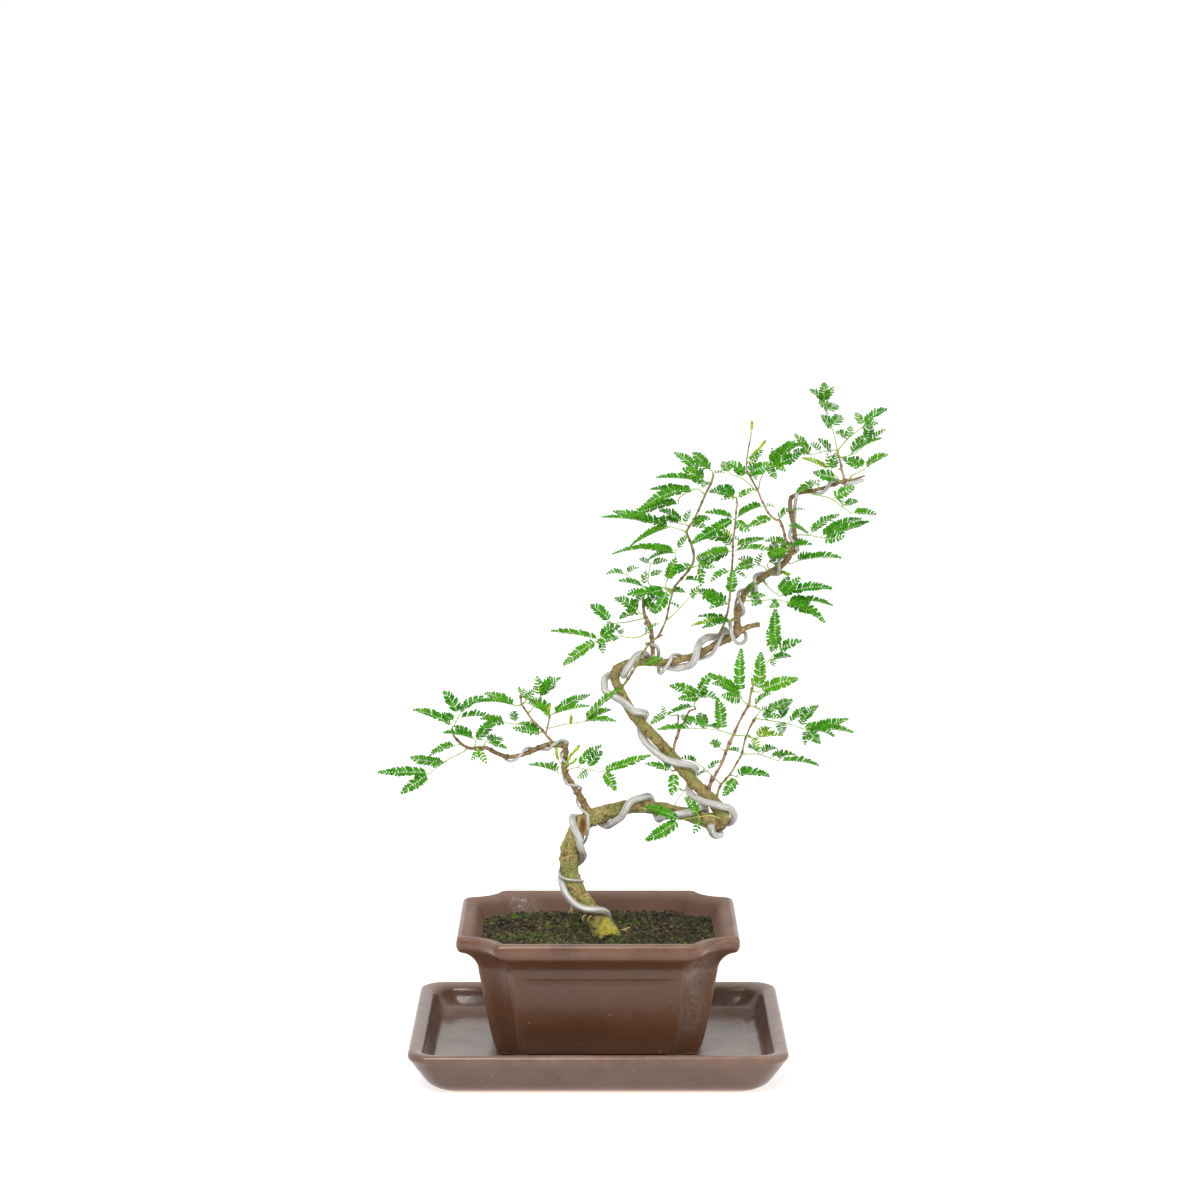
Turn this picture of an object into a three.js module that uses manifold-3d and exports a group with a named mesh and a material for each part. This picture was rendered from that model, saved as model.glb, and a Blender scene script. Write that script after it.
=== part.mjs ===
// A young gum arabic tree trained as a bonsai, in a ceramic pot with cut corners that stands in its saucer.
// Millimetres, +Z up. The origin is on the saucer's underside, below its centre. The viewer's side is -Y.
import * as THREE from "three";
import { mergeVertices } from "three/addons/utils/BufferGeometryUtils.js";
import Module from "manifold-3d";

// Driving dimensions
const CLEARANCE = 0.3;
const POT = { halfX: 75, halfY: 60.5, cutX: 20, cutY: 16, foot: 11.3, underside: 15.2, floor: 22, rim: 80 };
const SAUCER = { halfX: 100, halfY: 73.5, cutX: 13, cutY: 13, floor: 11, basin: 18 };
const CUT_SHRINK = 0.31;
const DRAIN = { x: 25, radius: 7, mesh: 24, thickness: 1.2 };
const FOOT_CHANNEL = { x: 37, y: 25 };
const SOIL = { edge: 70.2, crown: 71.6 };
const PLUG = { x: 4, y: -8, radius: 8 };
const THICK_WIRE = 2;
const THIN_WIRE = 1;
const BRANCH_WIRE = 0.75;
const LEAFLET_LENGTH = 4.2;
const BARE_STALK = 4;
const STAGGER = 1.4;

// Places on the tree are drawn on the middle plane y = 0 and slid along the line of sight to their depth y.
const EYE = { x: 1, distance: 1680, height: 512 };

const wasm = await Module();
wasm.setup();

function seen([x, y, z]) {
  const stretch = 1 + y / EYE.distance;
  return new THREE.Vector3(EYE.x + (x - EYE.x) * stretch, y, EYE.height + (z - EYE.height) * stretch);
}

// Solids

function solid(geometry) {
  const bare = geometry.clone();
  bare.deleteAttribute("normal");
  bare.deleteAttribute("uv");
  const merged = mergeVertices(bare, 1e-3);
  const vertProperties = merged.attributes.position.array;
  const triVerts = new Uint32Array(merged.index.array);
  return new wasm.Manifold(new wasm.Mesh({ numProp: 3, vertProperties, triVerts }));
}

function geometryOf(body) {
  const mesh = body.getMesh();
  const geometry = new THREE.BufferGeometry();
  geometry.setAttribute("position", new THREE.BufferAttribute(mesh.vertProperties, 3));
  geometry.setIndex(new THREE.BufferAttribute(mesh.triVerts, 1));
  geometry.computeVertexNormals();
  return geometry;
}

function join(bodies) {
  return bodies.reduce((whole, body) => whole.add(body));
}

function meshOf(corners, faces) {
  const geometry = new THREE.BufferGeometry();
  const values = corners.flatMap((corner) => [corner.x, corner.y, corner.z]);
  geometry.setAttribute("position", new THREE.Float32BufferAttribute(values, 3));
  geometry.setIndex(faces);
  return geometry;
}

// A closed skin over rings of corners: quads from ring to ring, and a fan over each end ring.
function loft(rings) {
  const sides = rings[0].length;
  const corners = rings.flat();
  const faces = [];
  for (let ring = 0; ring + 1 < rings.length; ring += 1) {
    for (let side = 0; side < sides; side += 1) {
      const here = ring * sides + side;
      const next = ring * sides + (side + 1) % sides;
      faces.push(here, next, next + sides, here, next + sides, here + sides);
    }
  }
  const last = (rings.length - 1) * sides;
  for (let side = 1; side + 1 < sides; side += 1) {
    faces.push(0, side + 1, side, last, last + side, last + side + 1);
  }
  return meshOf(corners, faces);
}

function middle(ring) {
  const sum = ring.reduce((total, corner) => total.add(corner), new THREE.Vector3());
  return sum.divideScalar(ring.length);
}

// Ceramics

const CORNER = [[0, 1.12], [0.08, 0.9], [0.9, 0.08], [1.12, 0]];

// A rectangle with softened cut corners, seen from above and running anticlockwise.
function outline(shape, inset, z) {
  const x = shape.halfX - inset;
  const y = shape.halfY - inset;
  const cutX = shape.cutX - CUT_SHRINK * inset;
  const cutY = shape.cutY - CUT_SHRINK * inset;
  const quarter = CORNER.map(([across, along]) => [x - cutX * across, y - cutY * along]);
  const turned = [...quarter].reverse();
  const points = [
    ...quarter,
    ...turned.map(([px, py]) => [-px, py]),
    ...quarter.map(([px, py]) => [-px, -py]),
    ...turned.map(([px, py]) => [px, -py]),
  ];
  return points.map(([px, py]) => new THREE.Vector3(px, py, z));
}

// Wall profiles as [inset from the rim's outline, height].
const POT_OUTSIDE = [
  [20.6, POT.foot], [19.2, 18], [11.8, 58], [10.9, 64.4], [8.5, 68.5], [5, 71.2], [1.6, 72.6],
  [0.1, 75], [0.5, 79], [2.2, POT.rim],
];
const POT_INSIDE = [
  [7, POT.rim], [8.6, 78], [10.5, 71], [14.5, 66], [17.8, 60], [24.5, 23], [26, POT.floor],
];
const SAUCER_PROFILE = [
  [16.5, 0], [14, 1.2], [10.5, 4], [3.5, 14], [0.3, 20.5], [0.3, 22.6], [1.6, 23.6], [6.2, 23.5],
  [8, 22], [9.5, 17], [13, 12.2], [SAUCER.basin, SAUCER.floor],
];

function box(sizeX, sizeY, sizeZ, x, y, z) {
  return solid(new THREE.BoxGeometry(sizeX, sizeY, sizeZ).translate(x, y, z));
}

function post(radius, bottom, top, x, y, sides) {
  const round = new THREE.CylinderGeometry(radius, radius, top - bottom, sides);
  return solid(round.rotateX(Math.PI / 2).translate(x, y, (bottom + top) / 2));
}

function saucer() {
  return solid(loft(SAUCER_PROFILE.map(([inset, z]) => outline(SAUCER, inset, z))));
}

// The pot stands on its four corners: two shallow channels cross under it.
function pot() {
  const shell = solid(loft([...POT_OUTSIDE, ...POT_INSIDE].map(([inset, z]) => outline(POT, inset, z))));
  const height = POT.underside - POT.foot;
  const middleZ = POT.underside - height;
  const alongX = box(2 * POT.halfX, 2 * FOOT_CHANNEL.y, 2 * height, 0, 0, middleZ);
  const alongY = box(2 * FOOT_CHANNEL.x, 2 * POT.halfY, 2 * height, 0, 0, middleZ);
  const holes = [-DRAIN.x, DRAIN.x].map((x) => post(DRAIN.radius, POT.foot, POT.floor + 5, x, 0, 14));
  return shell.subtract(join([alongX, alongY, ...holes]));
}

// A flat screen with four square openings, which keeps the soil in over a drain hole.
function drainMesh(x) {
  const z = POT.floor + CLEARANCE + DRAIN.thickness / 2;
  const openings = [[-4.5, -4.5], [4.5, -4.5], [-4.5, 4.5], [4.5, 4.5]];
  const cuts = openings.map(([left, low]) => box(7, 7, 3 * DRAIN.thickness, x + left, low, z));
  return box(DRAIN.mesh, DRAIN.mesh, DRAIN.thickness, x, 0, z).subtract(join(cuts));
}

// The pot's inner wall, as an inset at a height.
function wallInset(z) {
  const above = POT_INSIDE.findIndex(([, height]) => height <= z);
  const [insetHigh, high] = POT_INSIDE[above - 1];
  const [insetLow, low] = POT_INSIDE[above];
  return insetLow + (insetHigh - insetLow) * (z - low) / (high - low);
}

function soil() {
  const bed = POT.floor + CLEARANCE;
  const heights = [bed, 23.6, 60, 66, SOIL.edge];
  const rings = heights.map((z) => outline(POT, wallInset(z) + 1.6 * CLEARANCE, z));
  const rim = wallInset(SOIL.edge);
  const rise = SOIL.crown - SOIL.edge;
  for (const [inset, share] of [[rim + 7, 0.6], [rim + 20, 1], [rim + 34, 0.75]]) {
    const ring = outline(POT, inset, 0);
    for (const corner of ring) {
      const swell = 0.5 * Math.sin(corner.x / 11) * Math.cos(corner.y / 9 + 1);
      corner.z = SOIL.edge + rise * share + swell;
    }
    rings.push(ring);
  }
  const block = solid(loft(rings));
  const plugHole = post((PLUG.radius + CLEARANCE) / Math.cos(Math.PI / 16), 47.5, 90, PLUG.x, PLUG.y, 16);
  const screens = [-DRAIN.x, DRAIN.x].map((x) => {
    const side = DRAIN.mesh + 2 * CLEARANCE;
    const height = 2 * (DRAIN.thickness + 2 * CLEARANCE);
    return box(side, side, height, x, 0, POT.floor);
  });
  const [footX, footY, footZ] = WIRE_FOOT[0];
  const wireRoute = [[footX, footY, footZ - 2], ...WIRE_FOOT].map(seen);
  const wireHole = tube(wireRoute, THICK_WIRE + CLEARANCE + 0.15, 8, 4);
  return block.subtract(join([plugHole, wireHole, ...screens]));
}

// Wood: keys are [x, depth, z, radius]; a key without a radius takes it from its neighbours.

const MAIN = [
  [5, -8, 56, 6.5], [4, -8, 68, 6.5], [1, -7.5, 76, 5.6], [-5, -6, 85, 5], [-10, -4.5, 92, 4.9],
  [-13.8, -3, 99, 4.9], [-15.4, -2, 105, 4.4], [-15.8, -1, 111, 5], [-14.8, 0, 118, 5],
  [-12.2, 1, 125, 4.7], [-9.3, 2.5, 130.5, 4.6], [-4.5, 4, 134.3, 4.6], [1, 5, 136.3, 4.5],
  [8, 5.5, 138.6, 4.2], [16, 5, 140.6, 3.7], [25, 4, 140.8, 3.4], [34, 2.5, 139.8, 3.4],
  [43, 1, 137.6, 3.4], [51, -0.5, 135.8, 3.5], [58, -1.5, 133.6, 4], [64, -1.5, 132.3, 4.6],
  [66.6, -0.5, 135.5, 4.2], [64.5, 1, 140.5, 3.7], [60.5, 2, 145, 3.5], [55.5, 3, 150, 3.2],
  [50, 4, 156, 3.2], [44, 4.5, 163, 3.2], [38, 4.5, 170.5, 3], [31, 4, 178, 2.9], [24, 3, 185.5, 2.8],
  [18.5, 2, 192, 2.8], [14.3, 1, 199, 2.6], [11.5, 0, 205, 2.4], [8.9, -1, 210.5, 2.3],
  [9.6, -1.5, 215.3, 2.3], [14.5, -1.5, 218.6, 2.2], [21, -1, 219.8, 2.1], [30, 0, 219.6, 2.1],
  [38, 1, 219.7, 2], [45, 2, 221.5, 1.9], [52, 2.5, 223.2, 1.9], [58, 3, 226.4, 1.9],
  [64, 3.5, 230, 1.9], [69.5, 4, 232.8, 2], [74, 4.5, 235.8, 2.4], [74.3, 5, 240.5, 1.9],
  [74.4, 6, 246, 1.6], [76, 7, 251.5, 1.6], [78.5, 8, 257.5, 1.7], [83.5, 8.5, 262.3, 1.7],
  [90, 8.5, 267.3, 1.7], [95.5, 8, 270.7, 1.7], [100, 7, 274.5, 1.6], [102.7, 6, 279.5, 1.5],
  [104.3, 5, 285.5, 1.3], [104.2, 4, 291, 1.2], [103, 3.5, 297, 1.2], [101.9, 3, 303, 1.15],
  [102.3, 3, 308, 1.05], [105.5, 3, 310.3, 1], [112, 3.5, 311.7, 0.95], [119, 4, 313.4, 0.9],
  [125.5, 4, 315.6, 0.95], [130.8, 4, 317.4, 1], [135.5, 4, 318, 0.7], [141.3, 4, 320, 0.45],
];
const ELBOW = 20;
const FORK = 44;

// The root plug widens into the soil and goes straight down in its hole.
const ROOT = [[4, -8, 47.9, 8], [4, -8, 69.6, 8], [3.4, -8, 71.6, 7.3], [1, -7.5, 76, 5.8]];
const ELBOW_KNOB = [[67, -1, 131.8, 3.9], [68.9, -1, 131.8, 2.2]];

const LEFT_BRANCH = [
  [-5, 4, 134, 3], [-5.5, 4, 137.5, 2.6], [-7.5, 3.5, 142, 2], [-10, 3, 147, 1.7], [-12.8, 2.5, 151.5, 1.6],
  [-15, 2, 155, 1.5], [-17.3, 1.5, 159, 1.5], [-18.6, 1, 163, 1.4], [-17.9, 0.5, 167.5, 1.4],
  [-17.3, 0, 171, 1.4], [-18.8, -0.5, 174.6, 1.6], [-23, -1, 174.8, 1.7], [-28, -1.5, 174.6, 1.4],
  [-35, -2, 171.6, 1.3], [-41, -2.5, 169.3, 1.2], [-48, -3, 168.2, 1.15], [-54, -3, 170, 1.1],
  [-60, -3.5, 173, 1], [-65, -4, 173, 0.9], [-70, -4, 173.2, 0.8], [-77, -4, 179, 0.6],
  [-78.5, -4, 183.5, 0.5],
];

// Old cuts and dead ends
const STUBS = [
  [[-10.3, 2, 126, 4.6], [-10.3, 1.5, 132, 4.2], [-10.2, 1.2, 135.3, 3]],
  [[75, 4.5, 236, 1.7], [78.5, 4, 238.2, 1.4], [82.5, 3.5, 239.6, 1.3], [86.3, 3, 240.2, 1.3]],
  [[73.8, 5, 241.5, 0.9], [72.8, 4.5, 246, 0.7], [73.3, 4, 251, 0.65], [74, 4, 254.6, 0.6]],
  [[56, 3, 150, 1], [58, 2.6, 152.6, 0.8]],
];

function withRadii(keys) {
  const known = keys.map((key, index) => index).filter((index) => keys[index].length > 3);
  return keys.map((key, index) => {
    if (key.length > 3) {
      return key;
    }
    const before = known.filter((other) => other < index).pop();
    const after = known.find((other) => other > index);
    const share = (index - before) / (after - before);
    return [...key, keys[before][3] + (keys[after][3] - keys[before][3]) * share];
  });
}

// A limb's centre line with its radius and the two directions across it: toward the viewer, and to its right.
function centreLine(keys) {
  const full = withRadii(keys);
  const curve = new THREE.CatmullRomCurve3(full.map(seen));
  const last = full.length - 1;
  return {
    last,
    at(index) {
      const place = curve.getPoint(index / last);
      const ahead = curve.getTangent(index / last);
      const front = new THREE.Vector3(0, -1, 0).addScaledVector(ahead, ahead.y).normalize();
      const right = new THREE.Vector3().crossVectors(ahead, front);
      const low = Math.min(Math.floor(index), last - 1);
      const radius = full[low][3] + (full[low + 1][3] - full[low][3]) * (index - low);
      return { place, ahead, front, right, radius };
    },
  };
}

function limb(keys, sides, jacket = 0) {
  const line = centreLine(keys);
  const rings = [];
  for (let index = 0; index <= line.last; index += 1) {
    const { place, ahead, front, right, radius } = line.at(index);
    const beyond = (index === line.last) - (index === 0);
    place.addScaledVector(ahead, beyond * jacket);
    const ring = [];
    for (let side = 0; side < sides; side += 1) {
      const angle = 2 * Math.PI * (side + 0.5) / sides;
      const out = front.clone().multiplyScalar(Math.cos(angle)).addScaledVector(right, Math.sin(angle));
      ring.push(place.clone().addScaledVector(out, radius + jacket));
    }
    rings.push(ring);
  }
  return solid(loft(rings));
}

// All the grown wood as one body; a jacket widens it, to trim what starts at its surface.
function wood(jacket = 0) {
  const lower = [...ROOT, ...MAIN.slice(3, ELBOW + 1), ...ELBOW_KNOB];
  const limbs = [
    limb(lower, 7, jacket),
    limb(MAIN.slice(ELBOW, FORK + 2), 6, jacket),
    limb(MAIN.slice(FORK - 1), 5, jacket),
    limb(LEFT_BRANCH, 5, jacket),
    ...STUBS.map((stub) => limb(stub, 4, jacket)),
  ];
  return join(limbs);
}

// Wires: each winding is [index along the limb, angle in degrees from the front toward the right, extra slack].

function wound(keys, wireRadius, turns) {
  const line = centreLine(keys);
  const points = [];
  turns.forEach(([index, angle, slack = 0], step) => {
    const [nextIndex, nextAngle, nextSlack = 0] = turns[step + 1] ?? [index, angle, slack];
    const parts = Math.max(1, Math.ceil(Math.abs(nextAngle - angle) / 30));
    const count = step + 1 < turns.length ? parts : 1;
    for (let part = 0; part < count; part += 1) {
      const share = part / parts;
      const { place, front, right, radius } = line.at(index + (nextIndex - index) * share);
      const around = THREE.MathUtils.degToRad(angle + (nextAngle - angle) * share);
      const out = front.multiplyScalar(Math.cos(around)).addScaledVector(right, Math.sin(around));
      const reach = radius + wireRadius + CLEARANCE + 0.15 + slack + (nextSlack - slack) * share;
      points.push(place.addScaledVector(out, reach));
    }
  });
  return points;
}

function tube(points, radius, sides, step) {
  const path = new THREE.CatmullRomCurve3(points);
  const section = new THREE.Shape();
  for (let side = 0; side < sides; side += 1) {
    const angle = 2 * Math.PI * side / sides;
    const place = [radius * Math.cos(angle), radius * Math.sin(angle)];
    side === 0 ? section.moveTo(...place) : section.lineTo(...place);
  }
  const steps = Math.ceil(path.getLength() / step);
  return solid(new THREE.ExtrudeGeometry(section, { steps, bevelEnabled: false, extrudePath: path }));
}

// The lower trunk wire comes out of the soil and ends at the elbow.
const WIRE_FOOT = [[13.7, -1.2, 58], [13.5, -1.6, 68], [11.7, -4.2, 76], [8.2, -8.2, 82]];
const LOWER_WIRE_TURNS = [
  [2.6, 70], [3.2, 0], [4.3, -50], [5, -85], [5.6, -130], [6.3, -190], [7.2, -255], [8, -305], [9, -350],
  [9.8, -385],
];
const OVER_STUB = [[-14.8, -4.5, 132.5], [-14, 0, 138.8], [-11.2, 7, 138.4], [-6, 12.2, 134.6]];
const RUN_WIRE_TURNS = [
  [11.8, -580], [12.6, -660], [13, -674], [13.5, -689], [13.9, -720], [14.2, -754], [14.5, -772],
  [14.8, -783], [15.1, -810], [15.4, -900], [16.2, -1045], [17, -1080], [17.9, -1110], [18.1, -1130],
  [18.3, -1160], [18.6, -1200], [18.9, -1245], [19.4, -1290], [20, -1345], [19.7, -1390], [19.4, -1440],
];
const UPPER_WIRE_TURNS = [
  [20.4, 175], [20.8, 120], [21.1, 85], [21.8, 25], [22.9, -15], [23.8, -50], [24.4, -90], [24.8, -150],
  [25.1, -190], [25.3, -265], [25.8, -310], [26.3, -350], [27, -392], [27.7, -420], [28.4, -445],
  [28.9, -480], [29.3, -530], [29.7, -620], [30.3, -665], [30.7, -702], [31, -712], [31.6, -735],
  [32, -775, 1], [32.5, -800, 2.2], [33, -835, 1.2], [33.3, -900, 0.9], [33.8, -975, 0.6], [34.3, -1002],
  [34.8, -1040], [35.4, -1080], [35.9, -1132], [36.2, -1160], [36.8, -1260], [38, -1300], [38.6, -1340],
  [39.1, -1350], [39.6, -1395], [39.95, -1440], [40.3, -1485], [40.9, -1530, 1], [41.5, -1530, 1.3],
];
const UPPER_WIRE_END = [[64.8, 9.6, 234], [69, 11, 238]];
const HOOK = [
  [28.4, 3.9, 229.4], [26.2, 2.4, 229.5], [26.1, -0.6, 229.7], [28.7, -2.3, 229.6], [31.2, -1, 228.2],
  [32.3, 1, 225.8], [32.3, 4.4, 224.2], [32.2, 7.8, 221.8], [32.2, 8.7, 218.4], [32.4, 6.2, 214.8],
  [33.2, 1.8, 213.7], [34.8, -1.9, 215.2],
];
const THIN_WIRE_TURNS = [
  [37.9, 0], [38.4, -90], [39.2, -180], [40.3, -240], [41, -280], [41.7, -345], [42, -360], [42.6, -420],
  [43.1, -450], [43.7, -540],
];
const FORK_LOOP = [
  [78, 9, 236], [78.5, 4, 231.5], [75, 0, 229.8], [72.2, -1.5, 232.5], [71, -1, 236.8], [70.4, 2, 240],
  [70.6, 6.2, 242], [73, 9.4, 243.5],
];
const LEADER_WIRE_TURNS = [
  [46.2, -270], [47, -360], [47.7, -450], [48.2, -540], [48.7, -630], [49, -720], [49.3, -810], [50, -900],
  [50.8, -990], [51.2, -1080], [51.7, -1170], [52.5, -1260], [53.3, -1350], [53.9, -1440], [54.5, -1530],
  [55.3, -1620], [57, -1700], [58.5, -1730], [58.9, -1800], [59.4, -1890], [60, -1980], [60.6, -2070],
  [61.4, -2160], [61.9, -2250], [62.5, -2340], [63.2, -2430], [64.8, -2430],
];
const BRANCH_WIRE_ON_TRUNK = [[5, 70], [5.35, 0], [5.8, -85], [6.6, -175], [8, -185], [8.8, -265]];
const BRANCH_WIRE_CROSSING = [[-5.2, -4, 128], [-5.3, -3.8, 132], [-6, -1.8, 136.5]];
const BRANCH_WIRE_TURNS = [
  [1.9, -410], [2.4, -450], [3.1, -540], [3.6, -630], [4.6, -720], [5.2, -810], [6.3, -900], [7.2, -990],
  [7.8, -1080], [8.4, -1170], [9.3, -1260], [10, -1350], [11.4, -1440], [12, -1530], [12.8, -1620],
  [13.5, -1710], [14.2, -1800], [15, -1890], [15.6, -1980],
];

function lowerTrunkWire() {
  const points = [
    ...WIRE_FOOT.map(seen),
    ...wound(MAIN, THICK_WIRE, LOWER_WIRE_TURNS),
    ...OVER_STUB.map(seen),
    ...wound(MAIN, THICK_WIRE, RUN_WIRE_TURNS),
  ];
  return tube(points, THICK_WIRE, 5, 4.8);
}

function upperTrunkWire() {
  const points = [...wound(MAIN, THICK_WIRE, UPPER_WIRE_TURNS), ...UPPER_WIRE_END.map(seen)];
  return tube(points, THICK_WIRE, 5, 4.8);
}

function upperThinWire() {
  const points = [
    ...HOOK.map(seen),
    ...wound(MAIN, THIN_WIRE, THIN_WIRE_TURNS),
    ...FORK_LOOP.map(seen),
    ...wound(MAIN, THIN_WIRE, LEADER_WIRE_TURNS),
  ];
  return tube(points, THIN_WIRE, 4, 2.6);
}

function leftBranchWire() {
  const points = [
    ...wound(MAIN, BRANCH_WIRE, BRANCH_WIRE_ON_TRUNK),
    ...BRANCH_WIRE_CROSSING.map(seen),
    ...wound(LEFT_BRANCH, BRANCH_WIRE, BRANCH_WIRE_TURNS),
  ];
  return tube(points, BRANCH_WIRE, 4, 2.3);
}

// Leaves: a stalk of [x, depth, z] places, and side stalks [share of the stalk, tip x, depth, z, tilt].
// A tilt of 0 lays the leaflets level, 90 turns them to the viewer.

const TRUNK_LEAVES = {
  leaf_left_tip_outer: {
    stalk: [[-71.5, -4.5, 171.5], [-80, -7, 167], [-90.5, -9, 159.3]],
    sides: [[1, -117, -16, 159.5, 45], [1, -105, -14, 149, 80], [0.55, -100, 6, 168, 60],
      [0.55, -88, -22, 162.5, 40]],
  },
  leaf_left_tip_small: {
    stalk: [[-73.5, -4.5, 175], [-75.5, -6, 174.7]],
    sides: [[1, -89, -12, 169.5, 30]],
  },
  leaf_left_tip_top: {
    stalk: [[-78.3, -4, 183.8], [-76.3, -3, 187], [-75, -2, 190.5]],
    sides: [[1, -82, 4, 203, 60], [1, -62.5, 2, 200.5, 35], [0.8, -57.5, 1, 189.5, 20],
      [0.55, -85, 8, 190.5, 40], [0.15, -98, -10, 193.5, 40]],
  },
  leaf_left_tip_inner: {
    stalk: [[-66, -4, 174.5], [-66, -5, 177.5]],
    sides: [[1, -82, -14, 181, 20], [1, -76.5, 4, 184.5, 30], [1, -58, 14, 187, 60]],
  },
  leaf_left_tip_inner_b: {
    stalk: [[-65, -5.5, 172], [-64.5, -9, 173]],
    sides: [[1, -60.5, -14, 165.5, 90]],
  },
  leaf_left_tip_right: {
    stalk: [[-61, -4, 175], [-60.6, -5.6, 176.6]],
    sides: [[1, -50.3, -9, 173, 30], [1, -52, 10, 177, 20]],
  },
  leaf_left_branch_side: {
    stalk: [[-18.3, 0.5, 158.7], [-21, -1, 159.3]],
    sides: [[1, -36, -6, 163.5, 20], [1, -26.5, 8, 164.3, 20]],
  },
  leaf_left_branch_long: {
    stalk: [[-16.4, -0.8, 161.2], [-11, -4, 162.3], [-5, -7, 160.8], [2, -10, 160.3]],
    sides: [[0.3, 1, 2, 173.8, 35], [0.6, 1.5, 4, 170.5, 60], [0.6, -10.5, -14, 157, 90],
      [1, 9, -18, 151, 90], [1, 27, -12, 168.5, 45]],
  },
  leaf_elbow: {
    stalk: [[64.8, -6.6, 134.5], [60, -12, 136], [53, -13, 135], [44, -12, 133.5]],
    sides: [[0.55, 47.5, -10, 145, 40], [0.55, 52, -18, 127, 90], [1, 26.5, -16, 140.5, 55],
      [1, 27, -18, 123, 75]],
  },
  leaf_trunk_small: {
    stalk: [[41.2, -1.5, 141.5], [43.5, -3, 146], [46, -3, 149]],
    sides: [[1, 48.5, -3, 151.5, 30], [1, 43, -8, 150, 30]],
  },
  leaf_trunk_top: {
    stalk: [[24.2, -3.4, 218]],
    sides: [[1, 33.5, -6, 221.8, 60]],
  },
  leaf_leader_1: {
    stalk: [[73.5, 3, 242.5], [71, 0, 242.5]],
    sides: [[1, 51, -4, 239.6, 20], [1, 54.3, 8, 244.5, 30]],
  },
  leaf_leader_2: {
    stalk: [[78.3, 4.6, 255.3], [79.2, 3, 255.8]],
    sides: [[1, 88, -5, 255.5, 50], [1, 84.5, -1, 262, 35]],
  },
  leaf_leader_3: {
    stalk: [[79, 6, 253], [88, 2, 253.3], [96, 0, 253.5], [101, -2, 252]],
    sides: [[0.4, 82.5, -8, 251, 70], [0.75, 92, -10, 249.7, 85], [1, 120, -16, 242, 40], [1, 124, 4, 250.5, 30]],
  },
  leaf_leader_4: {
    stalk: [[88, 7.4, 263.2], [92.5, 4, 258.5], [97, 2, 255.2]],
    sides: [[0.2, 88, -2, 263, 60], [0.8, 101, 8, 265, 60], [1, 106.5, -2, 264.5, 60],
      [1, 123.5, -6, 259.7, 50]],
  },
  leaf_leader_5: {
    stalk: [[88.2, 7.5, 271.3], [83.5, 5, 272.3]],
    sides: [[1, 74, -6, 270, 60], [1, 75.5, 12, 275.5, 60], [1, 86.8, 0, 278, 60]],
  },
  leaf_leader_5_b: {
    stalk: [[90, 7, 272], [91.5, 6, 274.5]],
    sides: [[1, 99.3, -4, 277, 45], [1, 94.5, -4, 271.5, 20], [1, 94, 17, 284, 40]],
  },
  leaf_leader_7: {
    stalk: [[102, 6, 273], [105, 4, 274]],
    sides: [[1, 128, -4, 276, 30], [1, 113, 10, 277.8, 35]],
  },
  leaf_leader_8: {
    stalk: [[102.1, 3.6, 280], [101.6, 1, 281.6]],
    sides: [[1, 112.5, -10, 283, 40], [1, 108, 8, 286, 35], [1, 92, -3.5, 277.5, 45],
      [1, 90, 12, 285, 40]],
  },
  leaf_leader_9: {
    stalk: [[105, 5, 288.3], [108, 4, 288.4], [113, 2, 288], [119.5, 0, 286.7]],
    sides: [[0.5, 127, 10, 298.7, 35], [0.5, 102, -8, 292.8, 30], [1, 129.7, -8, 287.3, 70],
      [1, 142.7, 0, 295, 35]],
  },
  leaf_leader_10: {
    stalk: [[103, 2, 301]],
    sides: [[1, 109, 0, 302, 20]],
  },
  leaf_leader_11: {
    stalk: [[116.8, 3, 314], [116, 3, 315.5]],
    sides: [[1, 106.3, -2, 311.5, 35], [1, 111.8, 8, 317.2, 60]],
  },
  leaf_leader_12: {
    stalk: [[112.6, 2, 310.8], [117, -1, 309.5], [123, -1.5, 308], [130, -4, 303], [133.7, -5, 300.3]],
    sides: [[0.5, 134.7, -2, 313.5, 70], [0.8, 137, 4, 306.5, 40], [1, 146.3, -8, 299.3, 35]],
  },
  leaf_leader_13: {
    stalk: [[127.2, 2.2, 318.6], [122.3, 0, 323]],
    sides: [[0.15, 115, -8, 321.5, 70], [1, 109, -4, 328.7, 30], [1, 121.5, -2, 331, 60]],
  },
  leaf_leader_13_b: {
    stalk: [[133.8, 3, 319.6], [137, 1, 321.4], [141, -1, 323.3]],
    sides: [[1, 152.3, -6, 330.7, 40], [1, 133.5, 9, 329, 60]],
  },
};

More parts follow.
